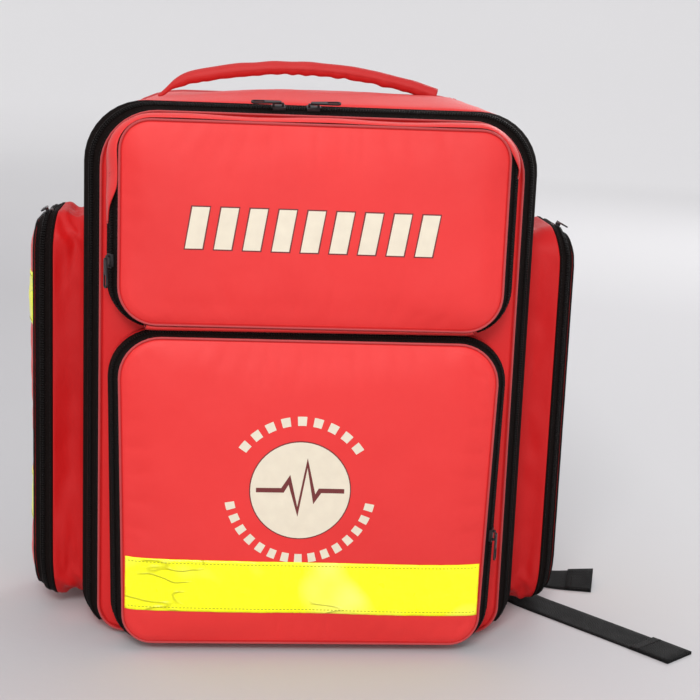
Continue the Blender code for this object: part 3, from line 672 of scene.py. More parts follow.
def padded_grid(outline, columns, rows):
    """A grid that fills a rounded rectangle, its border on the outline."""
    u = np.linspace(outline.left, outline.right, columns)
    v = np.linspace(outline.low, outline.high, rows)
    grid_u, grid_v = np.meshgrid(u, v)
    middle = (outline.left + outline.right) / 2.0
    for low_side, radius in ((True, outline.low_radius), (False, outline.high_radius)):
        centre_v = outline.low + radius if low_side else outline.high - radius
        beyond_v = (centre_v - grid_v if low_side else grid_v - centre_v) / radius
        for sign, edge in ((-1.0, outline.left), (1.0, outline.right)):
            centre_u = edge - sign * radius
            beyond_u = sign * (grid_u - centre_u) / radius
            corner = (beyond_u > 0.0) & (beyond_v > 0.0)
            length = np.hypot(beyond_u, beyond_v)
            shrink = np.where(corner, np.maximum(beyond_u, beyond_v) / np.maximum(length, 1e-9), 1.0)
            grid_u = np.where(corner, centre_u + sign * beyond_u * shrink * radius, grid_u)
            lifted = beyond_v * shrink * radius
            grid_v = np.where(corner, centre_v - lifted if low_side else centre_v + lifted, grid_v)
            beyond_v = (centre_v - grid_v if low_side else grid_v - centre_v) / radius
    straight_low, straight_high = outline.low + outline.low_radius, outline.high - outline.high_radius
    share = np.clip((grid_v - straight_low) / (straight_high - straight_low), 0.0, 1.0)
    half = (outline.right - outline.left) / 2.0
    grid_u = middle + (grid_u - middle) * (half - outline.flare * (1.0 - share)) / half
    return grid_u, grid_v


def pillow(name, outline, plane, seam, crown, rear, material, cell=0.005, shoulder=0.014, dome=0.3,
           inner=None):
    """A closed padded panel: a crowned front sheet and a flatter rear sheet that share a border."""
    columns = int((outline.right - outline.left) / cell) + 1
    rows = int((outline.high - outline.low) / cell) + 1
    grid_u, grid_v = padded_grid(outline, columns, rows)
    flat = np.stack([grid_u, grid_v], -1)
    inside = np.clip(outline.edge_distance(flat), 0.0, None)
    inside[0], inside[-1], inside[:, 0], inside[:, -1] = 0.0, 0.0, 0.0, 0.0
    shoulder_rise = np.sqrt(1.0 - (1.0 - np.clip(inside / shoulder, 0.0, 1.0)) ** 2)
    reach = min(outline.right - outline.left, outline.high - outline.low) / 2.0
    rise = shoulder_rise * (1.0 - dome) + dome * np.sin(np.clip(inside / reach, 0.0, 1.0) * math.pi / 2.0)
    front = plane(grid_u, grid_v, seam + crown * rise)
    back = plane(grid_u, grid_v, seam - rear * shoulder_rise)
    lay = np.stack([grid_u, grid_v, np.zeros_like(grid_u)], -1)
    count = rows * columns
    index = np.arange(count).reshape(rows, columns)
    interior = np.zeros((rows, columns), bool)
    interior[1:-1, 1:-1] = True
    rear_index = np.where(interior, index + count, index)
    renumber = np.concatenate([np.arange(count), np.zeros(count, int)])
    renumber[count:][interior.ravel()] = count + np.arange(interior.sum())
    faces = grid_faces(rows, columns)
    rear_faces = []
    for row in range(rows - 1):
        for column in range(columns - 1):
            corners = (rear_index[row, column], rear_index[row + 1, column],
                       rear_index[row + 1, column + 1], rear_index[row, column + 1])
            rear_faces.append(tuple(int(renumber[corner]) for corner in corners))
    vertices = np.concatenate([front.reshape(-1, 3), back[interior]])
    lays = np.concatenate([lay.reshape(-1, 3), lay[interior]])
    materials = [material] if inner is None else [material, inner]
    indices = [0] * len(faces) + [len(materials) - 1] * len(rear_faces)
    piece = add_piece(name, vertices, faces + rear_faces, materials, lays, True, indices)
    mend_normals(piece)
    border = ~interior.ravel()
    ends = np.zeros(len(piece.data.edges) * 2, int)
    piece.data.edges.foreach_get("vertices", ends)
    on_border = np.concatenate([border, np.zeros(int(interior.sum()), bool)])[ends.reshape(-1, 2)].all(1)
    crease = piece.data.attributes.new("crease_edge", "FLOAT", "EDGE")
    crease.data.foreach_set("value", on_border.astype(np.float32))
    pins = np.concatenate([border, np.ones(int(interior.sum()), bool)])
    return piece, pins


def coordinates(mesh):
    flat = np.zeros(len(mesh.vertices) * 3)
    mesh.vertices.foreach_get("co", flat)
    return flat.reshape(-1, 3)


def set_coordinates(piece, points):
    piece.data.vertices.foreach_set("co", np.asarray(points, np.float32).ravel())
    piece.data.update()


def drape(piece, pins, pressure=4.0, slack=0.004, cap=0.004, frames=20, bending=0.6, stiffness=20.0):
    """Inflate and crease a piece by cloth simulation, then keep the result in its mesh."""
    group = piece.vertex_groups.new(name="pins")
    group.add([int(index) for index in np.flatnonzero(pins)], 1.0, "REPLACE")
    modifier = piece.modifiers.new("cloth", "CLOTH")
    settings = modifier.settings
    settings.quality = 6
    settings.mass = 0.12
    settings.tension_stiffness = stiffness
    settings.compression_stiffness = stiffness
    settings.shear_stiffness = stiffness * 0.4
    settings.bending_stiffness = bending
    settings.air_damping = 2.0
    settings.vertex_group_mass = "pins"
    settings.shrink_min = -slack
    settings.use_pressure = True
    settings.uniform_pressure_force = pressure
    settings.effector_weights.gravity = 0.0
    modifier.collision_settings.use_collision = False
    modifier.point_cache.frame_start = 1
    modifier.point_cache.frame_end = frames
    rest = coordinates(piece.data)
    scene = bpy.context.scene
    for frame_number in range(1, frames + 1):
        scene.frame_set(frame_number)
    evaluated = piece.evaluated_get(bpy.context.evaluated_depsgraph_get())
    moved = coordinates(evaluated.data) - rest
    distance = np.linalg.norm(moved, axis=1, keepdims=True)
    limited = cap * np.tanh(distance / cap)
    result = rest + moved * np.where(distance > 1e-9, limited / np.maximum(distance, 1e-9), 0.0)
    piece.modifiers.remove(modifier)
    piece.vertex_groups.clear()
    set_coordinates(piece, result)
    scene.frame_set(1)


def refine(piece, levels=1):
    """Subdivide once the shape is final, and keep the result in the mesh."""
    modifier = piece.modifiers.new("smooth", "SUBSURF")
    modifier.levels = levels
    modifier.render_levels = levels
    evaluated = piece.evaluated_get(bpy.context.evaluated_depsgraph_get())
    finer = bpy.data.meshes.new_from_object(evaluated)
    piece.modifiers.clear()
    piece.data = finer
    finer.shade_smooth()


def press(piece, amount, scale, seed, share=1.0):
    """Slow, shallow waves over a cloth surface; share is how much of them each vertex takes."""
    points = coordinates(piece.data)
    normals = np.zeros(len(points) * 3)
    piece.data.vertices.foreach_get("normal", normals)
    normals = normals.reshape(-1, 3)
    shift = np.array([smooth_noise(point, scale, seed) for point in points]) * share
    set_coordinates(piece, points + normals * (shift * amount)[:, None])


# ---------------------------------------------------------------- zippers

def tape_grid(rim_row, seam_row, shares, first, last, rows, bulge):
    """The surface of one zipper tape, bowed outward a little between rim and seam."""
    near, far = run(rim_row, first, last), run(seam_row, first, last)
    steps = np.linspace(shares[0], shares[1], rows)
    grid = between(near, far, steps)
    normals = surface_normals(grid)
    return grid + normals * (bulge * np.sin(steps * math.pi))[:, None, None], normals


def coil_half(name, edge_row, normals, inward, shift):
    """One half of a coil zipper: a row of small arched teeth along the tape's edge."""
    points, directions = resample(edge_row, COIL_PITCH)
    nearest = nearest_of(points, edge_row)
    out = normals[nearest]
    inward = unit(inward[nearest])
    points = points + directions * shift * COIL_PITCH
    profile = [(-0.0030, 0.0004), (-0.0026, 0.0014), (-0.0008, 0.0019), (0.0006, 0.0014), (0.0008, 0.0004)]
    half = 0.30 * COIL_PITCH
    template = [(along, across, height) for along in (-half, half) for across, height in profile]
    count = len(profile)
    faces = [tuple(range(count)), tuple(reversed(range(count, 2 * count)))]
    for index in range(count):
        following = (index + 1) % count
        faces.append((index, following, following + count, index + count))
    axes = np.stack([directions, inward, out], 1)
    return stamp(name, template, faces, points, axes, COIL)


def zipper(prefix, rim_row, seam_row, corner, inner_body, outer_body, outward):
    """Both tapes of one zipper, its coil and its topstitching."""
    first = corner * ARC_STEPS + 0.1
    last = LAST_CORNER_END - corner * ARC_STEPS - 0.1
    halves = (
        ("inner", (0.0, 0.475), inner_body, 0.0),
        ("outer", (1.0, 0.525), outer_body, 0.5),
    )
    for which, shares, body, shift in halves:
        grid, normals = tape_grid(rim_row, seam_row, shares, first, last, 6, 0.0012)
        if (normals * outward(grid)).sum(2).mean() < 0.0:
            grid, normals = tape_grid(rim_row, seam_row, shares, first, last, 6, -0.0012)
            normals = -normals
        tape = cloth_sheet(f"{prefix}_tape_{which}", grid, 0.0010, [ZIPPER])
        attach(tape, body, TAPE_NODES[prefix, which])
        coil = coil_half(f"{prefix}_coil_{which}", grid[-1], normals[-1], grid[-1] - grid[-2], shift)
        attach(coil, body)
        line = grid[1] + normals[1] * 0.0006
        stitch_row(f"{prefix}_tape_stitches_{which}", line, normals[1], BLACK_THREAD, body=body)


TAPE_NODES = {
    ("main", "inner"): "main_zipper_body_half",
    ("main", "outer"): "main_zipper_lid_half",
    **{(name, half): f"{name}_zipper_{half}_half"
       for name in ("upper", "lower", "left", "right") for half in ("inner", "outer")},
}


# ---------------------------------------------------------------- the bag

def hinge_strip(name, grid, thickness, body):
    """The sewn cloth strip along the bottom of a flap, which the flap turns on."""
    strip = cloth_sheet(name + "_hinge_strip", grid, thickness, [RED, LINING], False,
                        lambda points: np.array([0.0, 0.0, -1.0]), 1)
    attach(strip, body)
    return strip


def bottom_rows(rim_row, seam_row):
    """The stretch of a pocket's two rows that has no zipper, along the bottom."""
    corner = END_OF_TAPE["pocket"] * ARC_STEPS
    return [run(row, LAST_CORNER_END - corner, RING_COUNT + corner) for row in (rim_row, seam_row)]


def gusset_row(depth, centre):
    """One ring of the main compartment's wall, with its crown on top and its ripples."""
    crown, dip, pinch = 0.0090, 0.0012, 0.0014  # of the top's middle, the top's ends and the upper sides
    slow, quick = 0.0016, 0.0005  # the heights of two sizes of ripple
    share = (depth - BODY_FRONT) / (BODY_BACK - BODY_FRONT)
    within = min(1.0, max(0.0, share))
    swell = math.sin(math.pi * within) ** 0.8
    rounder = BODY_RIM.high_radius + (BACK_RIM.high_radius - BODY_RIM.high_radius) * within
    tuck = 0.0014 * max(0.0, 1.0 - 18.0 * share)
    row = ring(BODY_RIM._replace(high_radius=rounder).inset(HALF_CLOTH + tuck), front_plane, depth)
    top = np.clip((row[:, 2] - 0.43) / 0.065, 0.0, 1.0) ** 1.5
    middle = ease((row[:, 0] + 0.155) / 0.13) * ease((0.185 - row[:, 0]) / 0.07)
    row[:, 2] += (crown * middle * swell - dip * (1.0 - middle) * swell) * top
    side = np.clip((np.abs(row[:, 0]) - 0.17) / 0.035, 0.0, 1.0)
    free = np.clip((row[:, 2] - 0.395) / 0.03, 0.0, 1.0)
    row[:, 0] -= np.sign(row[:, 0]) * pinch * swell * side * free
    for index, point in enumerate(row):
        ripple = smooth_noise(point, 22.0, 3.0) * slow + smooth_noise(point, 60.0, 5.0) * quick
        lift = swell * (0.25 + 0.75 * max(top[index], free[index] * side[index]))
        away = (point - centre) * np.array([1.0, 0.0, 1.0])
        row[index] = point + away / np.linalg.norm(away) * ripple * lift
    row[:, 2] = np.maximum(row[:, 2], 0.0016)
    return row


def build_main_body():
    """The gusset round the main compartment, its bottom strip, back piping and zipper."""
    centre = np.array([0.0, 0.0, (body_low.z + body_high.z) / 2.0])
    depths = np.linspace(BODY_FRONT + 0.0004, BODY_BACK + 0.0024, 22)
    outward = away_from(centre, (1.0, 0.0, 1.0))
    grid = np.array([gusset_row(depth, centre) for depth in depths])
    gusset = cloth_sheet("gusset_cloth", grid, 2.0 * HALF_CLOTH, [RED, LINING], True, outward, 1)
    attach(gusset, "body", "main_gusset")

    corner = END_OF_TAPE["main"] * ARC_STEPS
    bottom = [run(row, LAST_CORNER_END - corner, RING_COUNT + corner)
              for row in (ring(BODY_RIM.inset(HALF_CLOTH), front_plane, BODY_FRONT),
                          ring(LID_PIPING, front_plane, LID_SEAM + 0.002))]
    strip = hinge_strip("lid", between(*bottom, np.linspace(0.0, 0.94, 5)), 0.002, "body")
    set_coordinates(strip, np.maximum(coordinates(strip.data), [-1.0, -1.0, 0.0004]))

    back_edge = ring(BACK_RIM.inset(0.0005), front_plane, BODY_BACK + 0.0032)
    back_edge[:, 2] = np.maximum(back_edge[:, 2], 0.0022)
    edging = swept_tube("back_edge_piping", back_edge, 0.0022, PIPING_RED, 8, True, up=BACKWARD)
    attach(edging, "body")
    rim = ring(BODY_RIM.inset(0.0008), front_plane, BODY_FRONT)
    seam = ring(LID_PIPING, front_plane, LID_SEAM + 0.001)
    zipper("main", rim, seam, END_OF_TAPE["main"], "body", "lid",
           away_from(centre, (1.0, 0.0, 1.0), (0.0, -0.05, 0.0)))


def piping_cord(name, outline, plane, depth, node, body, material=PIPING_RED):
    """A flap's piping, with the sewn edge of cloth that shows just behind it."""
    on_front = plane is front_plane
    out = BACKWARD if on_front else RIGHTWARD
    behind = 0.0009
    cord = swept_tube(name, ring(outline, plane, depth), PIPING_RADIUS * CORD_SHARE, material, 10, True,
                      wobble=0.05, up=out)
    attach(cord, body, node)
    seam_row = ring(outline.inset(behind), plane, depth + (behind if on_front else -behind))
    # The cloth edge behind the piping takes the painted-shade wall red.
    seam = swept_tube(name.replace("cord", "seam"), seam_row, PIPING_RADIUS * SEAM_SHARE, SHADED_WALL_RED, 6, True,
                      up=out)
    attach(seam, body)


def flap_piece(name, outline, plane, seam, crown, rear, node, body, slack, cap, pressure, seed, sign):
    """A padded flap: a crown from the cloth simulation, in slow waves that fade out at the sewn border."""
    edge = outline.inset(PIPING_RADIUS * 0.10)
    piece, pins = pillow(name, edge, plane, seam, sign * crown, sign * rear, RED, inner=LINING)
    drape(piece, pins, pressure=pressure, slack=slack, cap=cap)
    refine(piece)
    in_plane = coordinates(piece.data)[:, [0, 2] if plane is front_plane else [1, 2]]
    off_border = ease((edge.edge_distance(in_plane) - 0.003) / 0.020)
    press(piece, 0.0022, 9.0, seed, off_border)
    press(piece, 0.0007, 26.0, seed + 4.0, off_border)
    attach(piece, body, node)
    return piece


def build_lid():
    """The front panel of the main compartment and its piping."""
    edge = LID_PIPING.inset(PIPING_RADIUS * 0.10)
    # The lid panel takes the painted-shade lid red.
    lid, _ = pillow("lid_cloth", edge, front_plane, LID_SEAM, -0.0024, -0.0020, SHADED_LID_RED, cell=0.008,
                    shoulder=0.008, dome=0.1, inner=LINING)
    refine(lid)
    attach(lid, "lid", "lid_panel")
    piping_cord("lid_piping_cord", LID_PIPING, front_plane, LID_SEAM - 0.0008, "lid_piping", "lid")


def build_welt(rim_row, seam_row, outward):
    """The fold of cloth that covers the upper pocket's zipper along its top."""
    near, far = (run(row, WELT_START, WELT_END) for row in (rim_row, seam_row))
    ends = np.linspace(0.0, 1.0, len(near))
    widest = 0.93 - 0.85 * (ease((ends - 0.84) / 0.16) + ease((0.09 - ends) / 0.09))
    overlap = 0.04  # onto the pocket's wall, as a share of the zipper's width
    reach = -overlap + np.linspace(0.0, 1.0, 9)[:, None] * (widest + overlap)
    grid = between(near, far, reach)
    normals = outward_normals(grid, outward)
    lift = 0.0036 * ease(np.minimum(ends, 1.0 - ends) / 0.04) * (1.0 + 0.25 * np.sin(ends * 37.0))
    arch = 0.25 + 0.75 * np.sin(np.clip(reach, 0.0, 1.0) * math.pi)
    grid += normals * (lift * arch)[..., None]
    welt = cloth_sheet("upper_zipper_welt", grid, 0.0010, [RED], False, outward)
    attach(welt, "lid")


def build_front_pocket(name, rim_outline, piping_outline, rim_depth, seam_depth, crown, slack, seed):
    """A pocket on the lid: wall, sewn bottom strip, zipper and padded flap."""
    body = name + "_flap"
    base_row = ring(rim_outline.inset(0.0010), front_plane, LID_FACE - 0.0002)
    rim_row = ring(rim_outline.inset(0.0010), front_plane, rim_depth)
    seam_row = ring(piping_outline, front_plane, seam_depth + 0.0008)
    centre = np.array([0.0, 0.0, (rim_outline.low + rim_outline.high) / 2.0])
    outward = away_from(centre, (1.0, 0.0, 1.0))
    # The pocket wall takes the painted-shade wall red.
    wall = cloth_sheet(name + "_pocket_wall", between(base_row, rim_row, np.linspace(0.0, 1.0, 5)), 0.002,
                       [SHADED_WALL_RED, LINING], True, outward, 1)
    attach(wall, "lid", name + "_pocket_gusset")
    bottom = bottom_rows(rim_row, seam_row)
    reach = np.linspace(0.0, 0.98, 20)[:, None, None]
    deepest = np.linspace(0.0054, 0.0034, len(bottom[0]))[:, None] if name == "upper" else 0.0
    hang = np.sin(reach ** 5.0 * math.pi) * deepest * np.array([0.0, 0.0, -1.0])
    hinge_strip(name, between(*bottom, reach) + hang, 0.0012, "lid")
    zipper(name, ring(rim_outline.inset(0.0006), front_plane, rim_depth), seam_row, END_OF_TAPE["pocket"],
           "lid", body, away_from(centre, (1.0, 0.0, 1.0), (0.0, -0.05, 0.0)))
    piping_cord(name + "_piping_cord", piping_outline, front_plane, seam_depth - 0.0006,
                name + "_flap_piping", body)
    if name == "upper":
        build_welt(rim_row, seam_row, outward)
    return flap_piece(name + "_flap_cloth", piping_outline, front_plane, seam_depth, crown, 0.003,
                      name + "_flap", body, slack, 0.0035, 4.0, seed, -1.0)


def slack_wall(point, share, side):
    """How far a side pocket's wall stands off its plain shape, at a share of the way out."""
    height = point[2]
    near_end = max(0.0, (height - 0.30) / 0.10, (0.10 - height) / 0.09)
    sag = WALL_SAG * math.sin(height * 34.0 + side * 0.9) * (0.35 + 0.65 * min(1.0, near_end))
    slant = height * 150.0 + share * 5.0 * side + side
    fold = WALL_FOLD * min(1.3, near_end) * (1.0 - abs(math.sin(slant))) ** 1.8
    uneven = 0.8 + 0.5 * smooth_noise(point, 9.0, 3.0 * side)
    valley = -WALL_VALLEY * math.sin(math.pi * (share ** 0.65)) * uneven
    crease = smooth_noise(point, 55.0, 7.0 + side) * (WALL_CREASE + END_CREASE * min(1.0, near_end))
    pulled_in = 1.0 - SIDE_TOP_PULL[side] * min(1.0, max(0.0, (height - 0.32) / 0.05))
    free = math.sin(math.pi * share) ** 0.7
    return free * (sag + fold + crease) * pulled_in + valley


def build_side_pocket(name, side):
    """A side pocket: a slack, creased wall, its bottom strip, zipper and flap, and two tapes."""
    plane = side_plane(side)
    body = name + "_flap"
    rim_points = SIDE_RIM_OUTLINE.inset(0.0010)
    base_row = ring(rim_points, plane, SIDE_BASE)
    rim_row = ring(rim_points, plane, SIDE_RIM[side])
    seam_row = ring(SIDE_PIPING, plane, SIDE_SEAM - 0.0008)
    steps = np.linspace(0.0, 1.0, 13)
    grid = between(base_row, rim_row, steps)
    centre = np.array([0.0, 0.010, 0.205])
    outward = away_from(centre, (0.0, 1.0, 0.4))
    normals = outward_normals(grid, outward, True)
    for row, share in enumerate(steps):
        for column in range(grid.shape[1]):
            grid[row, column] += normals[row, column] * slack_wall(grid[row, column], share, side)
    # The pocket wall takes the painted-shade wall red.
    wall = cloth_sheet(name + "_pocket_wall", grid, 0.0018, [SHADED_WALL_RED, LINING], True, outward, 1)
    refine(wall)
    attach(wall, "body", name + "_pocket_gusset")
    hinge_strip(name, between(*bottom_rows(rim_row, seam_row), np.linspace(0.0, 0.95, 6)), 0.0014, "body")
    zipper(name, ring(SIDE_RIM_OUTLINE.inset(0.0006), plane, SIDE_RIM[side]), seam_row, END_OF_TAPE["pocket"],
           "body", body, away_from(centre, (0.0, 1.0, 0.3), (side * 0.03, 0.0, 0.0)))
    piping_cord(name + "_piping_cord", SIDE_PIPING, plane, SIDE_SEAM + 0.0006, name + "_flap_piping", body,
                BLACK_CLOTH)
    flap = flap_piece(name + "_flap_cloth", SIDE_PIPING, plane, SIDE_SEAM, 0.0035, 0.003,
                      name + "_flap", body, 0.006, 0.0030, 3.0, 11.0 + side, 1.0)
    for where in ("lower", "upper"):
        node = f"{name}_reflective_{where}"
        low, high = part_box(node)
        across = np.linspace(low.y, high.y, 18)
        up = np.linspace(low.z, high.z, 12)
        tape_strip(f"{name}_tape_{where}", across, up, flap, (-side, 0.0, 0.0), node, body)


# ---------------------------------------------------------------- prints and tapes on cloth

def settle(points, cloth, direction, lift):
    """Drop points onto a cloth surface along a direction, and lift them off it a little."""
    builder = bmesh.new()
    builder.from_mesh(cloth.data)
    tree = BVHTree.FromBMesh(builder)
    builder.free()
    direction = Vector(direction)
    settled = []
    for point in points:
        start = Vector(point) - direction * 0.05
        hit = tree.ray_cast(start, direction, 0.12)[0]
        settled.append((hit if hit is not None else Vector(point)) - direction * lift)
    return np.array([tuple(point) for point in settled])


def conforming_patch(name, us, vs, make_point, cloth, direction, lift, thickness, material):
    """A thin printed or taped area that follows the cloth under it."""
    grid = np.array([[make_point(u, v) for u in us] for v in vs])
    flat = grid.reshape(-1, 3)
    lay = np.array([[(u, v, 0.0) for u in us] for v in vs]).reshape(-1, 3)
    outer = settle(flat, cloth, direction, lift + thickness)
    inner = outer + np.array(direction) * thickness * 1.2
    shell, back, rim, _ = slab_faces(*grid.shape[:2])
    piece = add_piece(name, np.concatenate([outer, inner]), shell + back + rim, [material],
                      np.concatenate([lay, lay]), True)
    return mend_normals(piece)


def crease_at(point):
    """Fine ridges that run across stiff tape where the cloth under it has bent."""
    slanted = Vector((point[0] + point[2] * 0.5, point[1], point[2] * 0.22))
    ridge = 1.0 - abs(noise_field.noise(slanted * 62.0)) * 2.0
    return 0.0006 * max(0.0, ridge) ** 5 + 0.0004 * smooth_noise(point, 40.0, 9.0)


def tape_strip(name, across, up, cloth, direction, node, body, tilt=0.0):
    """Reflective tape sewn onto a flap, with a row of stitches along each long edge."""
    def place(u, v):
        return (-direction[0] * 0.26, u, v) if direction[0] else (u, -0.15, v + tilt * u)
    tape = conforming_patch(name, across, up, place, cloth, direction, 0.0002, 0.0005, YELLOW)
    points = coordinates(tape.data)
    creases = np.array([crease_at(point) for point in points])
    set_coordinates(tape, points - np.array(direction, float) * creases[:, None])
    attach(tape, body, node)
    for edge, height in (("low", up[0] + 0.0035), ("high", up[-1] - 0.0035)):
        line = settle([place(u, height) for u in np.linspace(across[0] + 0.002, across[-1] - 0.002, 60)],
                      tape, direction, 0.0001)
        stitch_row(f"{name}_stitches_{edge}", line, np.array(direction) * -1.0, YELLOW_THREAD, body=body)


def printed_shape(name, outline_points, cloth, layer, material, body):
    """A printed area with any outline, cut into small faces so that it follows the cloth."""
    builder = bmesh.new()
    ink = 0.00012  # how thick the print is
    ring_vertices = [builder.verts.new((u, -0.2, v)) for u, v in outline_points]
    builder.faces.new(ring_vertices)
    low = np.min(outline_points, axis=0)
    high = np.max(outline_points, axis=0)
    for axis, normal in ((0, RIGHTWARD), (1, UPWARD)):
        for value in np.arange(low[axis] + PRINT_CELL, high[axis], PRINT_CELL):
            point = (value, 0.0, 0.0) if axis == 0 else (0.0, 0.0, value)
            geometry = list(builder.verts) + list(builder.edges) + list(builder.faces)
            bmesh.ops.bisect_plane(builder, geom=geometry, plane_co=point, plane_no=normal)
    builder.verts.ensure_lookup_table()
    flat = np.array([tuple(vertex.co) for vertex in builder.verts])
    top = settle(flat, cloth, BACKWARD, PRINT_LIFTS[layer])
    for vertex, point in zip(builder.verts, top):
        vertex.co = point
    made = bmesh.ops.extrude_face_region(builder, geom=list(builder.faces))
    for element in made["geom"]:
        if isinstance(element, bmesh.types.BMVert):
            element.co.y -= ink
    bmesh.ops.recalc_face_normals(builder, faces=builder.faces)
    mesh = bpy.data.meshes.new(name)
    builder.to_mesh(mesh)
    builder.free()
    mesh.materials.append(material)
    piece = in_scene(name, mesh)
    attach(piece, body)


def slanted_bar(left, right, low, high, slant, grow=0.0):
    return [(left - grow - slant / 2.0, low - grow), (right + grow - slant / 2.0, low - grow),
            (right + grow + slant / 2.0, high + grow), (left - grow + slant / 2.0, high + grow)]


def build_bars(upper_cloth):
    """A row of slanted bars across the upper flap, in place of a printed word."""
    count = 9
    left, right, low, high = -0.116, 0.113, 0.3745, 0.4115
    pitch = (right - left) / count
    bar_start, bar_end = 0.20, 0.80  # of each pitch
    row_drop, slant = -0.0018, 0.006
    for index in range(count):
        start = left + pitch * (index + bar_start)
        end = left + pitch * (index + bar_end)
        drop = row_drop * (index - count / 2.0) / count
        for part_name, grow, layer, material in (("edge", 0.0011, "edge", PRINT_EDGE),
                                                 ("bar", 0.0, "fill", PRINT)):
            bar = slanted_bar(start, end, low + drop, high + drop, slant, grow)
            printed_shape(f"print_{part_name}_{index + 1}", bar, upper_cloth, layer, material, "upper_flap")


def arc_points(centre, radius, angles):
    return [(centre[0] + radius * math.cos(angle), centre[1] + radius * math.sin(angle)) for angle in angles]


def sector(centre, inner, outer, start, end, steps=4):
    """One dash of a ring of dashes."""
    angles = np.radians(np.linspace(start, end, steps))
    return arc_points(centre, outer, angles) + arc_points(centre, inner, angles[::-1])


def thick_line(points, width):
    """The outline of a line with mitred corners."""
    points = [Vector((*point, 0.0)).to_2d() for point in points]
    left, right = [], []
    for index, point in enumerate(points):
        before = (point - points[index - 1]).normalized() if index else None
        after = (points[index + 1] - point).normalized() if index + 1 < len(points) else None
        direction = ((before or after) + (after or before)).normalized()
        normal = Vector((-direction.y, direction.x))
        sharpness = max(0.45, normal.dot(Vector((-(after or before).y, (after or before).x))))
        left.append(point + normal * width / 2.0 / sharpness)
        right.append(point - normal * width / 2.0 / sharpness)
    return [tuple(point) for point in left + right[::-1]]


def build_emblem(lower_cloth):
    """A plain disc with a pulse line, inside two arcs of dashes."""
    centre = (-0.0060, 0.1590)
    sides = 56
    turn = [2.0 * math.pi * side / sides for side in range(sides)]
    for part_name, radius, layer, material in (("edge", 0.0462, "edge", PRINT_EDGE),
                                               ("disc", 0.0452, "fill", PRINT)):
        disc = arc_points(centre, radius, turn)
        printed_shape(f"emblem_{part_name}", disc, lower_cloth, layer, material, "lower_flap")
    pulse = [(-0.040, 0.0), (-0.016, 0.0), (-0.010, 0.010), (-0.002, -0.020), (0.006, 0.026), (0.013, -0.008),
             (0.018, 0.0), (0.040, 0.0)]
    line = thick_line([(centre[0] + u, centre[1] + v) for u, v in pulse], 0.0042)
    printed_shape("emblem_pulse", line, lower_cloth, "line", PRINT_EDGE, "lower_flap")
    inner, outer = 0.0605, 0.0690
    dash_start, dash_end = 0.22, 0.78  # of each step round the ring
    for which, count, start, end in (("top", 9, 148.0, 32.0), ("bottom", 15, 188.0, 352.0)):
        step = (end - start) / count
        for index in range(count):
            dash = sector(centre, inner, outer, start + step * (index + dash_start),
                          start + step * (index + dash_end))
            printed_shape(f"emblem_dash_{which}_{index + 1}", dash, lower_cloth, "dash", PRINT, "lower_flap")


def build_front_band(lower_cloth):
    """The reflective band across the lower flap, which leans a little."""
    low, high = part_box("reflective_band")
    across = np.linspace(low.x - 0.0015, high.x + 0.0015, 120)
    up = np.linspace(low.z, high.z, 22)
    tape_strip("front_band", across, up, lower_cloth, BACKWARD, "reflective_band", "lower_flap",
               tilt=-0.012)


# ---------------------------------------------------------------- sliders

def rounded_box(builder, size, centre, bevel, taper=1.0):
    """A bevelled block; taper narrows its tail, at -X."""
    made = bmesh.ops.create_cube(builder, size=1.0)
    for vertex in made["verts"]:
        vertex.co = Vector(vertex.co[axis] * size[axis] for axis in range(3))
        if vertex.co.x < 0.0:
            vertex.co.y *= taper
        vertex.co += Vector(centre)
    edges = list({edge for vertex in made["verts"] for edge in vertex.link_edges})
    bmesh.ops.bevel(builder, geom=edges, offset=bevel, segments=2, affect="EDGES", profile=0.6)


def finish_builder(name, builder, material):
    """A piece from what a builder holds, smooth but for its sharp edges."""
    bmesh.ops.recalc_face_normals(builder, faces=builder.faces)
    mesh = bpy.data.meshes.new(name)
    builder.to_mesh(mesh)
    builder.free()
    mesh.materials.append(material)
    mesh.shade_smooth()
    mesh.set_sharp_from_angle(angle=math.radians(40.0))
    return in_scene(name, mesh)


def slider_frame(slider_node, pull_node):
    """A slider's own axes, from its CAD solids: along the zipper, across it, and out."""
    def cloud(node):
        return coordinates(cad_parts[node].data)
    points = cloud(slider_node)
    centre = (points.min(0) + points.max(0)) / 2.0
    _, _, axes = np.linalg.svd(points - points.mean(0), full_matrices=False)
    along = axes[0]
    to_pull = cloud(pull_node).mean(0) - points.mean(0)
    if along @ to_pull > 0.0:
        along = -along
    out = axes[2]
    if out @ to_pull < 0.0:
        out = -out
    across = np.cross(out, along)
    return Vector(centre), Matrix((along, across, out)).transposed()


def half_turn(middle, along, across, start, steps=10):
    """Half an ellipse in the XY plane, round a point on the X axis."""
    angles = [math.radians(start + 180.0 * step / steps) for step in range(steps + 1)]
    return [(middle + along * math.cos(angle), across * math.sin(angle)) for angle in angles]


def build_slider(slider_node, place):
    """A cast slider: a plate with two rails, two posts and a bridge."""
    builder = bmesh.new()
    rounded_box(builder, (0.0130, 0.0100, 0.0016), (0.0, 0.0, 0.0004), 0.0006, 0.66)  # the plate
    for rail in (0.0044, -0.0044):
        rounded_box(builder, (0.0115, 0.0012, 0.0030), (0.0006, rail, -0.0012), 0.0004)
    for post, height, middle in ((0.0042, 0.0030, 0.0022), (-0.0042, 0.0024, 0.0018)):
        rounded_box(builder, (0.0022, 0.0026, height), (post, 0.0, middle), 0.0007)
    rounded_box(builder, (0.0100, 0.0024, 0.0013), (0.0, 0.0, 0.0035), 0.0005)  # the bridge
    body = finish_builder(slider_node + "_cast", builder, GUNMETAL)
    body.data.transform(place)
    attach(body, slider_node, slider_node)


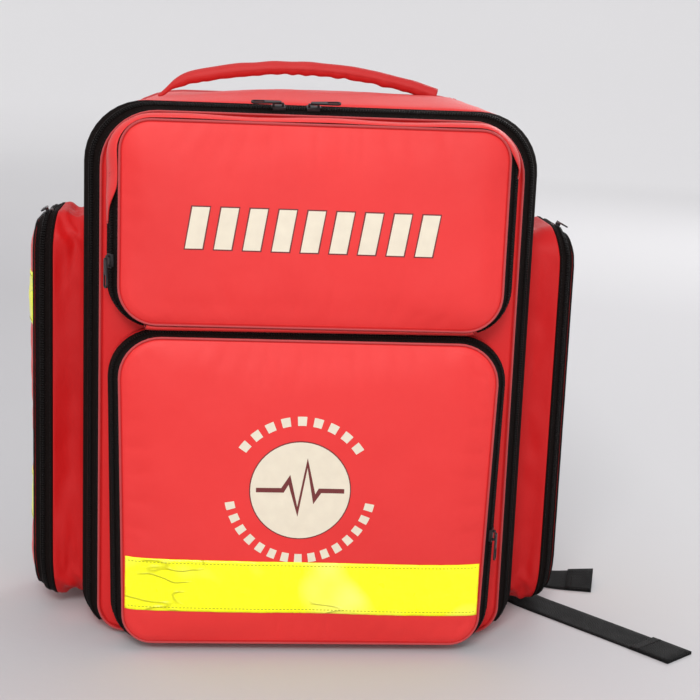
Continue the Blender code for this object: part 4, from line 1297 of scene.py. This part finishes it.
def build_pull(pull_node, place):
    """A flat pull with a long slot."""
    builder = bmesh.new()
    length, width, thick = 0.0245, 0.0072, 0.0014
    radius, half = width / 2.0, thick / 2.0
    slot_half = 0.0020
    outer = half_turn(radius - length, radius, radius, 90.0) + half_turn(0.0005, 0.0024, 0.0024, -90.0)
    inner = (half_turn(radius - length, 0.0024, slot_half, 90.0)
             + half_turn(-length * 0.55, 0.0014, slot_half, -90.0))
    rings = [[builder.verts.new((x, y, z)) for x, y in loop]
             for loop, z in ((outer, half), (inner, half), (inner, -half), (outer, -half))]
    count = len(outer)
    for first, second in zip(rings, rings[1:] + rings[:1]):
        for index in range(count):
            following = (index + 1) % count
            builder.faces.new((first[index], first[following], second[following], second[index]))
    bmesh.ops.bevel(builder, geom=[edge for edge in builder.edges if edge.calc_face_angle(0.0) > 1.0],
                    offset=0.0003, segments=2, affect="EDGES")
    pull = finish_builder(pull_node + "_tab", builder, GUNMETAL)
    pull.data.transform(place @ Matrix.Translation((0.0, 0.0, 0.0046)))
    attach(pull, pull_node, pull_node)


def build_sliders():
    """Every slider with its pull."""
    for slider_node, pull_node in (
        ("main_slider_left", "main_pull_left"),
        ("main_slider_right", "main_pull_right"),
        ("upper_slider", "upper_pull"),
        ("lower_slider", "lower_pull"),
        ("left_pocket_slider", "left_pocket_pull"),
        ("right_pocket_slider", "right_pocket_pull"),
    ):
        centre, rotation = slider_frame(slider_node, pull_node)
        place = Matrix.Translation(centre) @ rotation.to_4x4()
        build_slider(slider_node, place)
        build_pull(pull_node, place)


# ---------------------------------------------------------------- handle, straps and back

def build_handle():
    """A rolled cloth sleeve, gathered along its underside."""
    low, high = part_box("carry_handle")
    middle_y = (low.y + high.y) / 2.0
    radius = (high.y - low.y) / 2.0
    left, right = low.x - 0.0030, high.x - 0.0022
    end_height = low.z + radius
    rise = high.z - radius - end_height
    steps = 150
    end_dip, dip_reach = 0.0105, 0.11  # the left end is pressed down onto the bag
    path = []
    for step in range(steps + 1):
        share = step / steps
        arch = 1.0 - abs(2.0 * share - 1.0) ** 2.0
        dip = end_dip * (1.0 - min(1.0, share / dip_reach)) ** 1.6
        path.append((left + (right - left) * share, middle_y, end_height + rise * arch - dip))
    path = np.array(path)
    sides = 24
    handle_length = 0.262
    taper_reach = 0.13  # the share of the handle over which its left end grows thick
    gather, seam_depth, unevenness = 0.0010, 0.0016, 0.0007
    shares = np.linspace(0.0, 1.0, steps + 1)
    radii = radius * 1.10 * (0.30 + 0.70 * ease(shares / taper_reach))
    sleeve = swept_tube("handle_sleeve", path, radii, HANDLE_RED, sides, up=UPWARD, squash=0.94)
    points = coordinates(sleeve.data)
    for index in range((steps + 1) * sides):
        step, side = divmod(index, sides)
        angle = 2.0 * math.pi * side / sides
        under = max(0.0, -math.sin(angle))
        seam = math.exp(-((angle - 1.5 * math.pi) / 0.22) ** 2)
        length = step / steps * handle_length
        pucker = smooth_noise((length, 0.0, 0.0), 150.0, 4.0) + 0.35 * math.sin(length * 420.0)
        swell = gather * under * pucker - seam_depth * seam
        swell += unevenness * smooth_noise(points[index], 55.0, 2.0)
        away = points[index] - path[step]
        points[index] += away / np.linalg.norm(away) * swell
    set_coordinates(sleeve, points)
    attach(sleeve, "handle", "carry_handle")
    build_handle_tab(right, middle_y, end_height)


def build_handle_tab(right, middle_y, end_height):
    """The flat sewn end of the handle, at its right."""
    top = body_high.z
    tab_path = smooth_path([(right - 0.010, middle_y, end_height - 0.0005),
                            (right + 0.004, middle_y, end_height - 0.0015),
                            (right + 0.012, middle_y, top + 0.0052),
                            (right + 0.020, middle_y, top + 0.0038)], 6)
    widths = np.linspace(0.0095, 0.021, len(tab_path))
    shares = np.linspace(-0.5, 0.5, 7)
    tab_grid = tab_path[None] + np.array(BACKWARD) * shares[:, None, None] * widths[None, :, None]
    tab = cloth_sheet("handle_tab_right", tab_grid, 0.0022, [HANDLE_RED])
    attach(tab, "body")
    for column in (-2, -5):
        line = tab_grid[:, column] + np.array([0.0, 0.0, 0.0013])
        stitch_row(f"handle_tab_stitches_right_{-column}", line, np.array(UPWARD), RED_THREAD, 0.0024,
                   body="body")


def smooth_path(points, steps):
    """Catmull-Rom spline through the points."""
    points = [np.asarray(point, float) for point in points]
    padded = [2.0 * points[0] - points[1], *points, 2.0 * points[-1] - points[-2]]
    path = []
    for before, start, end, after in zip(padded, padded[1:], padded[2:], padded[3:]):
        for step in range(steps):
            t = step / steps
            path.append(0.5 * (2.0 * start + (end - before) * t
                               + (2.0 * before - 5.0 * start + 4.0 * end - after) * t ** 2
                               + (3.0 * start - before - 3.0 * end + after) * t ** 3))
    return np.array(path + [points[-1]])


def strap_grid(centres, across, width, columns=9):
    """The surface of a strap: its centre line, repeated across its width."""
    shares = np.linspace(-0.5, 0.5, columns)
    return centres[None] + across[None] * (shares * width)[:, None, None]


def build_webbing(name, centres, across, node):
    """A length of flat webbing."""
    grid = strap_grid(centres, across, WEBBING_WIDTH)
    strap = cloth_sheet(name, grid, WEBBING * 0.9, [WEB])
    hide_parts(node)
    return strap, grid


def stitch_on(name, points, cloth, direction, material, body, pitch=STITCH_PITCH, closed=False):
    """Stitches along a line that is dropped onto a cloth surface."""
    dense = resample(points, pitch, closed)[0]
    line = settle(dense, cloth, direction, 0.00005)
    return stitch_row(name, line, -np.array(direction, float), material, pitch, closed, body)


def build_back_cloth():
    """The cloth of the back, stitched round its edge."""
    low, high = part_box("back_panel")
    middle = (low.y + high.y) / 2.0
    cloth, _ = pillow("back_cloth", BACK_RIM.inset(0.0022), front_plane, middle, 0.0020, 0.0018, BLACK_CLOTH,
                      cell=0.008, shoulder=0.006, dome=0.1, inner=LINING)
    refine(cloth)
    press(cloth, 0.0007, 14.0, 21.0)
    attach(cloth, "body", "back_panel")
    stitch_on("back_cloth_stitches", ring(BACK_RIM.inset(0.0075), front_plane, 0.1), cloth, FORWARD,
              BLACK_THREAD, "body", closed=True)


def build_back_pads():
    """Two cushions of mesh cloth, with quilted channels and a bound edge."""
    channel_depth, channel_width = 0.80, 0.0095
    for node, channels, seed in (("back_pad", (-0.05, 0.05), 31.0),
                                 ("lumbar_pad", (-0.075, 0.0, 0.075), 32.0)):
        low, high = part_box(node)
        outline = Outline(low.x + 0.001, high.x - 0.001, low.z + 0.001, high.z - 0.001, 0.022, 0.022)
        base = low.y + 0.0035
        pad, _ = pillow(node + "_cushion", outline, front_plane, base, 0.0165, 0.0028, MESH_PAD,
                        cell=0.0045, shoulder=0.030, dome=0.12)
        points = coordinates(pad.data)
        across = np.min([np.abs(points[:, 0] - channel) for channel in channels], axis=0)
        valley = channel_depth * np.exp(-(across / channel_width) ** 2)
        points[:, 1] -= np.maximum(0.0, points[:, 1] - base) * valley
        set_coordinates(pad, points)
        refine(pad)
        press(pad, 0.0007, 24.0, seed)
        attach(pad, "body", node)
        edge = swept_tube(node + "_binding", ring(outline, front_plane, base), BINDING_RADIUS, BLACK_CLOTH, 8,
                          True, up=BACKWARD)
        attach(edge, "body")
        for index, channel in enumerate(channels):
            ends = [(channel, 0.12, low.z + 0.006), (channel, 0.12, high.z - 0.006)]
            stitch_on(f"{node}_quilting_{index + 1}", ends, pad, FORWARD, BLACK_THREAD, "body")


def build_yoke():
    """The strip of webbing that the shoulder straps are sewn under, with two rings of stitches."""
    low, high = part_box("shoulder_yoke")
    outline = Outline(low.x, high.x, low.z, high.z, 0.004, 0.004)
    yoke, _ = pillow("yoke_cloth", outline, front_plane, (low.y + high.y) / 2.0, 0.0015, 0.0012, WEB,
                     cell=0.006, shoulder=0.004, dome=0.1)
    refine(yoke)
    attach(yoke, "body", "shoulder_yoke")
    for index, inset in enumerate((0.004, 0.010)):
        line = ring(outline.inset(inset)._replace(low_radius=0.001, high_radius=0.001), front_plane, 0.12)
        stitch_on(f"yoke_stitches_{index + 1}", line, yoke, FORWARD, BLACK_THREAD, "body", closed=True)


def pad_section(samples, half_width, half_thickness, edge):
    """Half-thicknesses across a strap pad, thick in the middle and thin at its bound edges."""
    shares = np.linspace(-1.0, 1.0, samples)
    return shares * half_width, edge + (half_thickness - edge) * (1.0 - np.abs(shares) ** 3.0)


def build_shoulder_strap(name, side):
    """A padded strap: mesh inside, cloth outside and bound edges."""
    body = name + "_strap"
    mirror = np.array([side, 1.0, 1.0])
    control = np.array([(0.050, 0.0940, 0.462), (0.056, 0.1120, 0.440), (0.070, 0.1260, 0.380),
                        (0.087, 0.1300, 0.300), (0.101, 0.1270, 0.220), (0.112, 0.1220, 0.150)]) * mirror
    centres = smooth_path(control, 14)
    count = len(centres)
    across = np.tile(RIGHTWARD, (count, 1))
    out = unit(np.cross(across, unit(np.gradient(centres, axis=0))))
    out *= np.sign(out[:, 1:2])
    columns = 15
    offsets, halves = pad_section(columns, half_width=0.0295, half_thickness=0.0058, edge=0.0012)
    end_share = np.minimum(np.arange(count), np.arange(count)[::-1]) / 3.0
    end_round = np.sqrt(1.0 - (1.0 - np.clip(end_share, 0.0, 1.0)) ** 2)
    thickness = halves[None, :] * (0.35 + 0.65 * end_round[:, None])
    waves = np.array([[smooth_noise(centres[i] + across[i] * offsets[j], 30.0, 40.0 + side) * 0.0006
                       for j in range(columns)] for i in range(count)])
    flat = centres[:, None, :] + across[:, None, :] * offsets[None, :, None]
    outer = flat + out[:, None, :] * (thickness + waves)[:, :, None]
    inner = flat - out[:, None, :] * thickness[:, :, None]
    lay = np.stack(np.broadcast_arrays(offsets[None, :], lengths_along(centres)[:, None], 0.0), -1)
    shell, back, rim, border = slab_faces(count, columns)
    pad = add_piece(name + "_strap_pad", np.concatenate([outer.reshape(-1, 3), inner.reshape(-1, 3)]),
                    shell + back + rim, [BLACK_CLOTH, MESH_PAD], np.concatenate([lay.reshape(-1, 3)] * 2),
                    face_materials=[0] * len(shell) + [1] * len(back) + [0] * len(rim))
    mend_normals(pad)
    attach(pad, body, name + "_shoulder_pad")
    edge_loop = flat.reshape(-1, 3)[border]
    binding = swept_tube(name + "_strap_binding", edge_loop, 0.0021, BLACK_CLOTH, 8, True, up=BACKWARD)
    attach(binding, body)
    for which, column in (("inside", 2), ("outside", columns - 3)):
        stitch_row(f"{name}_strap_stitches_{which}", outer[:, column], out, BLACK_THREAD, body=body)
    build_strap_webbing(name, body, centres, out, mirror)


def build_strap_webbing(name, body, centres, out, mirror):
    """The webbing that is sewn down the lower part of a strap and runs on into the ladder lock."""
    first = int(len(centres) * 0.52)  # where the webbing begins
    lower = centres[first:] + out[first:] * 0.0066
    to_lock = np.array([(0.1130, 0.1235, 0.1460), (0.1135, 0.1215, 0.1425)]) * mirror
    lower = np.concatenate([lower[:-1], to_lock])
    strip_grid = strap_grid(lower, np.tile(RIGHTWARD, (len(lower), 1)), WEBBING_WIDTH)
    strip = cloth_sheet(name + "_strap_webbing", strip_grid, WEBBING, [WEB])
    attach(strip, body)
    for which, column in (("inside", 1), ("outside", 7)):
        line = strip_grid[column][:-4] + out[first:][:len(strip_grid[column]) - 4] * 0.0008
        stitch_row(f"{name}_webbing_stitches_{which}", line, out[first:][:len(line)], BLACK_THREAD, body=body)
    top = strip_grid[:, 1] + out[first] * 0.0008
    stitch_row(name + "_webbing_stitches_top", top, out[first], BLACK_THREAD, 0.0018, body=body,
               radius=0.0005)


def build_ladder_lock(name):
    """A moulded ladder lock: a frame with two slots and a ribbed middle bar."""
    node = name + "_ladder_lock"
    low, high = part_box(node)
    centre = (low + high) / 2.0
    curve = bpy.data.curves.new(node + "_frame", "CURVE")
    curve.dimensions = "2D"
    curve.fill_mode = "BOTH"
    curve.extrude = 0.0017
    curve.bevel_depth = 0.0008
    curve.bevel_resolution = 2
    curve.offset = -0.0007
    slot_half = WEBBING_WIDTH / 2.0 + 0.001
    frame_half = slot_half + 0.005
    bar, slot, end = 0.003, 0.0095, 0.0145  # from the middle to the edge of the bar, the slots and the frame
    for outline in (
        Outline(-frame_half, frame_half, -end, end, 0.004, 0.004),
        Outline(-slot_half, slot_half, bar, slot, 0.0012, 0.0012),
        Outline(-slot_half, slot_half, -slot, -bar, 0.0012, 0.0012),
    ):
        points = outline.points()
        spline = curve.splines.new("POLY")
        spline.points.add(len(points) - 1)
        for spline_point, point in zip(spline.points, points):
            spline_point.co = (point[0], point[1], 0.0, 1.0)
        spline.use_cyclic_u = True
    maker = in_scene(node + "_maker", curve)
    mesh = bpy.data.meshes.new_from_object(maker.evaluated_get(bpy.context.evaluated_depsgraph_get()))
    bpy.data.objects.remove(maker)
    builder = bmesh.new()
    builder.from_mesh(mesh)
    bmesh.ops.remove_doubles(builder, verts=builder.verts, dist=1e-6)
    for rib in range(9):
        rounded_box(builder, (0.0012, 0.0052, 0.0009), ((rib - 4) * 0.0042, 0.0, 0.0026), 0.0003)
    rounded_box(builder, (0.030, 0.0035, 0.0030), (0.0, -0.0150, 0.0012), 0.0010)
    lock = finish_builder(node + "_frame", builder, BUCKLE)
    lock.data.transform(Matrix.Translation(centre) @ Matrix.Rotation(math.radians(86.0), 4, "X")
                        @ Matrix.Rotation(math.radians(180.0), 4, "Y"))
    attach(lock, name + "_strap", node)


def build_lower_webbing(name, side):
    """The webbing from the base of the back up to the ladder lock."""
    mirror = np.array([side, 1.0, 1.0])
    control = np.array([(0.150, 0.0856, 0.044), (0.149, 0.0880, 0.026), (0.146, 0.0980, 0.013),
                        (0.141, 0.1160, 0.011), (0.133, 0.1310, 0.030), (0.125, 0.1320, 0.064),
                        (0.118, 0.1240, 0.098), (0.1165, 0.1195, 0.117), (0.1150, 0.1160, 0.1272),
                        (0.1148, 0.1205, 0.1335)]) * mirror
    centres = smooth_path(control, 7)
    across = np.tile(RIGHTWARD, (len(centres), 1))
    strap, _ = build_webbing(name + "_lower_strap", centres, across, name + "_lower_webbing")
    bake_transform(strap)


def tail_path(points, tilt, turns_over):
    """Centre line and width direction of a strap's free end, from its buckle to the ground."""
    on_ground = 0.0003 + WEBBING / 2.0
    steps = 8
    centres = smooth_path(points, steps)
    last = len(centres) - 1
    across = []
    for index, centre in enumerate(centres):
        heading = centres[min(index + 1, last)] - centres[max(index - 1, 0)]
        flat = np.array([-heading[1], heading[0], 0.0])
        flat /= max(np.linalg.norm(flat), 1e-9)
        if turns_over and flat[0] < 0.0:
            flat = -flat
        share = min(1.0, index / (4.0 * steps))
        level = (1.0 - share) * np.array(RIGHTWARD) + share * flat
        level /= np.linalg.norm(level)
        lifted = max(0.0, (index - (last - 2 * steps)) / (2 * steps)) * tilt
        centre[2] = max(centre[2], on_ground + math.sin(lifted) * WEBBING_WIDTH / 2.0)
        across.append(level * math.cos(lifted) + np.array([0.0, 0.0, math.sin(lifted)]))
    return centres, np.array(across)


def build_tails():
    """The straps' free ends: from the buckles down to the ground and out to the right."""
    on_ground = 0.0003 + WEBBING / 2.0
    on_other = on_ground + WEBBING + 0.0009
    left_points = [(-0.1155, 0.1165, 0.1405), (-0.1158, 0.1255, 0.1350), (-0.1170, 0.1320, 0.114),
                   (-0.1200, 0.1430, 0.094), (-0.1190, 0.1510, 0.062),
                   (-0.1050, 0.1530, 0.028), (-0.0780, 0.1510, 0.008), (-0.0420, 0.1490, 0.0018),
                   (-0.0100, 0.1480, on_ground), (0.0400, 0.1460, on_ground), (0.1000, 0.1410, on_ground),
                   (0.1520, 0.1250, on_ground), (0.1980, 0.1010, on_ground), (0.2380, 0.0690, on_ground),
                   (0.2750, 0.0420, on_ground), (0.3160, 0.0300, on_ground)]
    right_points = [(0.1155, 0.1165, 0.1405), (0.1158, 0.1255, 0.1350), (0.1170, 0.1320, 0.114),
                    (0.1210, 0.1440, 0.094), (0.1280, 0.1600, 0.056),
                    (0.1400, 0.1660, 0.019), (0.1540, 0.1520, 0.0055), (0.1760, 0.1300, on_other),
                    (0.1990, 0.1000, on_other), (0.2130, 0.0680, on_other), (0.2200, 0.0380, on_other),
                    (0.2270, 0.0120, 0.0020), (0.2380, -0.0120, on_ground), (0.2720, -0.0540, on_ground),
                    (0.3130, -0.1040, on_ground), (0.3570, -0.1590, on_ground)]
    for name, points, tilt, turns_over in (("left", left_points, math.radians(17.0), False),
                                           ("right", right_points, 0.0, True)):
        centres, across = tail_path(points, tilt, turns_over)
        tail, grid = build_webbing(name + "_tail_strap", centres, across, name + "_strap_tail")
        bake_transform(tail)
        hem_grid = grid[:, -6:] + np.array([0.0, 0.0, 0.0014])
        hem = cloth_sheet(name + "_tail_hem", hem_grid, WEBBING, [WEB])
        attach(hem, "body")
        line = hem_grid[:, 1] + np.array([0.0, 0.0, 0.0009])
        stitch_row(name + "_tail_hem_stitches", line, np.array(UPWARD), BLACK_THREAD, 0.0022,
                   body="body")


def floor_plane(u, v, depth):
    """Points on a level sheet: u to the right, v to the back, depth up."""
    return np.stack(np.broadcast_arrays(u, v, depth), -1).astype(float)


def build_boards():
    """The padded shelf and the stiffening boards."""
    for node, plane, material, slot_name, radius, axis in (
        ("padded_divider", floor_plane, LINING, "red_lining", 0.004, 2),
        ("base_board", floor_plane, BOARD, "stiffener_board", 0.006, 2),
        ("frame_sheet", front_plane, BOARD, "stiffener_board", 0.066, 1),
    ):
        low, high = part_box(node)
        v_axis = 1 if axis == 2 else 2
        outline = Outline(low.x, high.x, low[v_axis], high[v_axis], radius, radius)
        middle, half = (low[axis] + high[axis]) / 2.0, (high[axis] - low[axis]) / 2.0
        sheet, _ = pillow(node + "_sheet", outline, plane, middle, half, half, material, cell=0.008,
                          shoulder=half * 1.5, dome=0.0)
        attach(sheet, "body", node)
        if node == "padded_divider":
            rim_row = ring(outline.inset(0.001), plane, middle)
            rim = swept_tube("divider_binding", rim_row, BINDING_RADIUS, BLACK_CLOTH, 8, True)
            attach(rim, "body")


def build_back_lining():
    """The lining that shows at the back of the main compartment."""
    lining, _ = pillow("back_lining", BACK_RIM.inset(0.0034), front_plane, BODY_BACK - 0.0028, 0.0002, 0.0006,
                       LINING, cell=0.008, shoulder=0.006, dome=0.1)
    press(lining, 0.0003, 20.0, 51.0)
    attach(lining, "body")


def net_strands(width, height, pitch):
    """The two ends and the slope of every strand of a diagonal net that fills a rectangle."""
    strands = []
    for slope in (-1.0, 1.0):
        for start in np.arange(-height, width, pitch * math.sqrt(2.0)):
            ends = [np.array([start + (rise if slope > 0.0 else height - rise), rise])
                    for rise in (0.0, height)]
            first, second = clip_to_box(*ends, width, height)
            if first is not None:
                strands.append((first, second, slope))
    return strands


def build_lid_net():
    """The lid's net pocket: crossed strands, an elastic hem and a bound edge."""
    low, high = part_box("lid_mesh_pocket")
    middle = (low.y + high.y) / 2.0
    pitch, half = 0.0052, 0.00028
    vertices, faces = [], []
    for first, second, slope in net_strands(high.x - low.x, high.z - low.z, pitch):
        direction = (second - first) / np.linalg.norm(second - first)
        side = np.array([-direction[1], direction[0]]) * half
        depth = middle + slope * 0.0002
        base = len(vertices)
        for end in (first, second):
            for offset, lift in ((side, -half), (side, half), (-side, half), (-side, -half)):
                spot = end + offset
                vertices.append((low.x + spot[0], depth + lift, low.z + spot[1]))
        faces += [(base + a, base + (a + 1) % 4, base + 4 + (a + 1) % 4, base + 4 + a) for a in range(4)]
        faces += [(base, base + 3, base + 2, base + 1), (base + 4, base + 5, base + 6, base + 7)]
    net = mend_normals(add_piece("lid_net", vertices, faces, [MESH_PAD], smooth=False))
    attach(net, "lid", "lid_mesh_pocket")
    hem_outline = Outline(low.x, high.x, high.z - 0.018, high.z, 0.002, 0.002)
    hem, _ = pillow("lid_net_elastic", hem_outline, front_plane, middle, 0.0009, 0.0009, WEB, cell=0.004,
                    shoulder=0.002, dome=0.0)
    attach(hem, "lid")
    rim_path = [(low.x, middle, high.z - 0.004), (low.x, middle, low.z), (high.x, middle, low.z),
                (high.x, middle, high.z - 0.004)]
    dense = np.concatenate([np.linspace(start, end, 12)[:-1] for start, end in zip(rim_path, rim_path[1:])]
                           + [[rim_path[-1]]])
    rim = swept_tube("lid_net_binding", dense, 0.0016, BLACK_CLOTH, 8, up=BACKWARD)
    attach(rim, "lid")


def clip_to_box(first, second, width, height):
    """The part of a line that lies inside a box whose corner is the origin, or None."""
    direction = second - first
    enter, leave = 0.0, 1.0
    for axis, limit in ((0, width), (1, height)):
        if abs(direction[axis]) < 1e-9:
            continue
        a = (0.0 - first[axis]) / direction[axis]
        b = (limit - first[axis]) / direction[axis]
        enter, leave = max(enter, min(a, b)), min(leave, max(a, b))
    if leave - enter < 0.01:
        return None, None
    return first + direction * enter, first + direction * leave


def backpack():
    """The whole object, piece by piece."""
    build_main_body()
    build_lid()
    upper = build_front_pocket("upper", UPPER_RIM, UPPER_PIPING, UPPER_RIM_DEPTH, UPPER_SEAM,
                               crown=0.0040, slack=0.003, seed=1.0)
    lower = build_front_pocket("lower", LOWER_RIM, LOWER_PIPING, LOWER_RIM_DEPTH, LOWER_SEAM,
                               crown=0.0050, slack=0.005, seed=2.0)
    build_side_pocket("left", -1)
    build_side_pocket("right", 1)
    build_bars(upper)
    build_emblem(lower)
    build_front_band(lower)
    build_sliders()
    build_handle()
    build_back_cloth()
    build_back_pads()
    build_yoke()
    for name, side in (("left", -1), ("right", 1)):
        build_shoulder_strap(name, side)
        build_ladder_lock(name)
        build_lower_webbing(name, side)
    build_tails()
    build_boards()
    build_back_lining()
    build_lid_net()


# ---------------------------------------------------------------- stage, light and camera

def backdrop_look():
    """A pale, faintly mottled surface that glows more with distance and towards the right."""
    glow_start, glow_slope, most_glow = 1.8, 0.090, 0.38
    side_start, side_slope = 0.045, 0.34
    least_side_glow, most_side_glow = 0.015, 0.13
    look = Look("pale_backdrop", (0.54, 0.535, 0.54), 0.8, Emission_Color=(0.86, 0.86, 0.86, 1.0))
    look.vary_colour(look.noise(0.7), (0.50, 0.485, 0.51), 0.6)
    look.grain(90.0, 0.0002)
    coordinates_node = look.node("ShaderNodeTexCoord")
    distance_node = look.node("ShaderNodeVectorMath", operation="LENGTH")
    look.link(coordinates_node.outputs["Object"], distance_node.inputs[0])
    beyond = look.math("MAXIMUM", look.math("SUBTRACT", distance_node.outputs["Value"], glow_start), 0.0)
    axes_node = look.node("ShaderNodeSeparateXYZ")
    look.link(coordinates_node.outputs["Object"], axes_node.inputs[0])
    rightwards = look.math("SUBTRACT", look.math("MULTIPLY", axes_node.outputs["X"], side_slope), side_start)
    sideways = look.math("MINIMUM", look.math("MAXIMUM", rightwards, least_side_glow), most_side_glow)
    glow = look.math("ADD", look.math("MULTIPLY", beyond, glow_slope), sideways)
    look.link(look.math("MINIMUM", glow, most_glow), look.shader.inputs["Emission Strength"])
    return look.done()


def build_stage():
    """A floor that curves up into a wall far away on every side, in an evenly lit room."""
    flat_radius, bend_radius, wall_height = 5.0, 3.0, 8.0
    profile = [(0.5, 0.0), (2.0, 0.0), (flat_radius, 0.0)]
    for step in range(1, 13):
        angle = math.radians(90.0 * step / 12)
        profile.append((flat_radius + bend_radius * math.sin(angle), bend_radius * (1.0 - math.cos(angle))))
    profile.append((flat_radius + bend_radius, wall_height))
    turns = 64
    angles = [2.0 * math.pi * turn / turns for turn in range(turns)]
    vertices = [(radius * math.cos(angle), radius * math.sin(angle), height)
                for radius, height in profile for angle in angles]
    faces = [tuple(reversed(face)) for face in grid_faces(len(profile), turns, True)] + [tuple(range(turns))]
    dish = add_piece("backdrop", vertices, faces, [backdrop_look()])
    world = bpy.data.worlds.new("studio")
    bpy.context.scene.world = world
    world.use_nodes = True
    world.node_tree.nodes["Background"].inputs["Color"].default_value = (0.80, 0.80, 0.82, 1.0)
    world.node_tree.nodes["Background"].inputs["Strength"].default_value = 0.85


def area_light(name, location, target, size, power):
    data = bpy.data.lights.new(name, "AREA")
    data.shape = "RECTANGLE"
    data.size, data.size_y = size
    data.energy = power
    lamp = in_scene(name, data)
    lamp.location = location
    lamp.rotation_euler = (Vector(target) - Vector(location)).to_track_quat("-Z", "Y").to_euler()


def build_lights():
    """A high key light at the front left, and weaker light from the front, above and behind."""
    area_light("key", (-0.5, -2.8, 2.3), (0.0, -0.1, 0.25), size=(1.2, 1.0), power=56.0)
    area_light("fill", (0.3, -2.4, 0.5), (0.0, -0.1, 0.12), size=(1.6, 0.6), power=6.0)
    area_light("top", (-0.3, 0.2, 2.8), (0.0, 0.0, 0.3), size=(1.8, 1.8), power=6.0)
    area_light("back", (1.6, 2.8, 1.8), (0.0, 0.0, 0.25), size=(1.4, 1.2), power=26.0)


CAMERA_AZIMUTH, CAMERA_ELEVATION, CAMERA_ROLL = -4.85, 12.14, 2.30
CAMERA_DISTANCE = 1.45
CAMERA_TARGET = Vector((0.0387, -0.1, 0.2785))
CAMERA_LENS = 80.6


def build_camera():
    """The photo's camera, which leans a little to one side."""
    azimuth, elevation = math.radians(CAMERA_AZIMUTH), math.radians(CAMERA_ELEVATION)
    back = Vector((math.sin(azimuth) * math.cos(elevation), -math.cos(azimuth) * math.cos(elevation),
                   math.sin(elevation)))
    data = bpy.data.cameras.new("camera")
    data.sensor_width = 36.0
    data.lens = CAMERA_LENS
    camera = in_scene("camera", data)
    camera.location = CAMERA_TARGET + back * CAMERA_DISTANCE
    upright = (-back).to_track_quat("-Z", "Y")
    camera.rotation_mode = "QUATERNION"
    camera.rotation_quaternion = upright @ Matrix.Rotation(math.radians(CAMERA_ROLL), 4, "Z").to_quaternion()
    bpy.context.scene.camera = camera


build_stage()
build_lights()
build_camera()
backpack()
bpy.context.scene.view_settings.view_transform = "Standard"
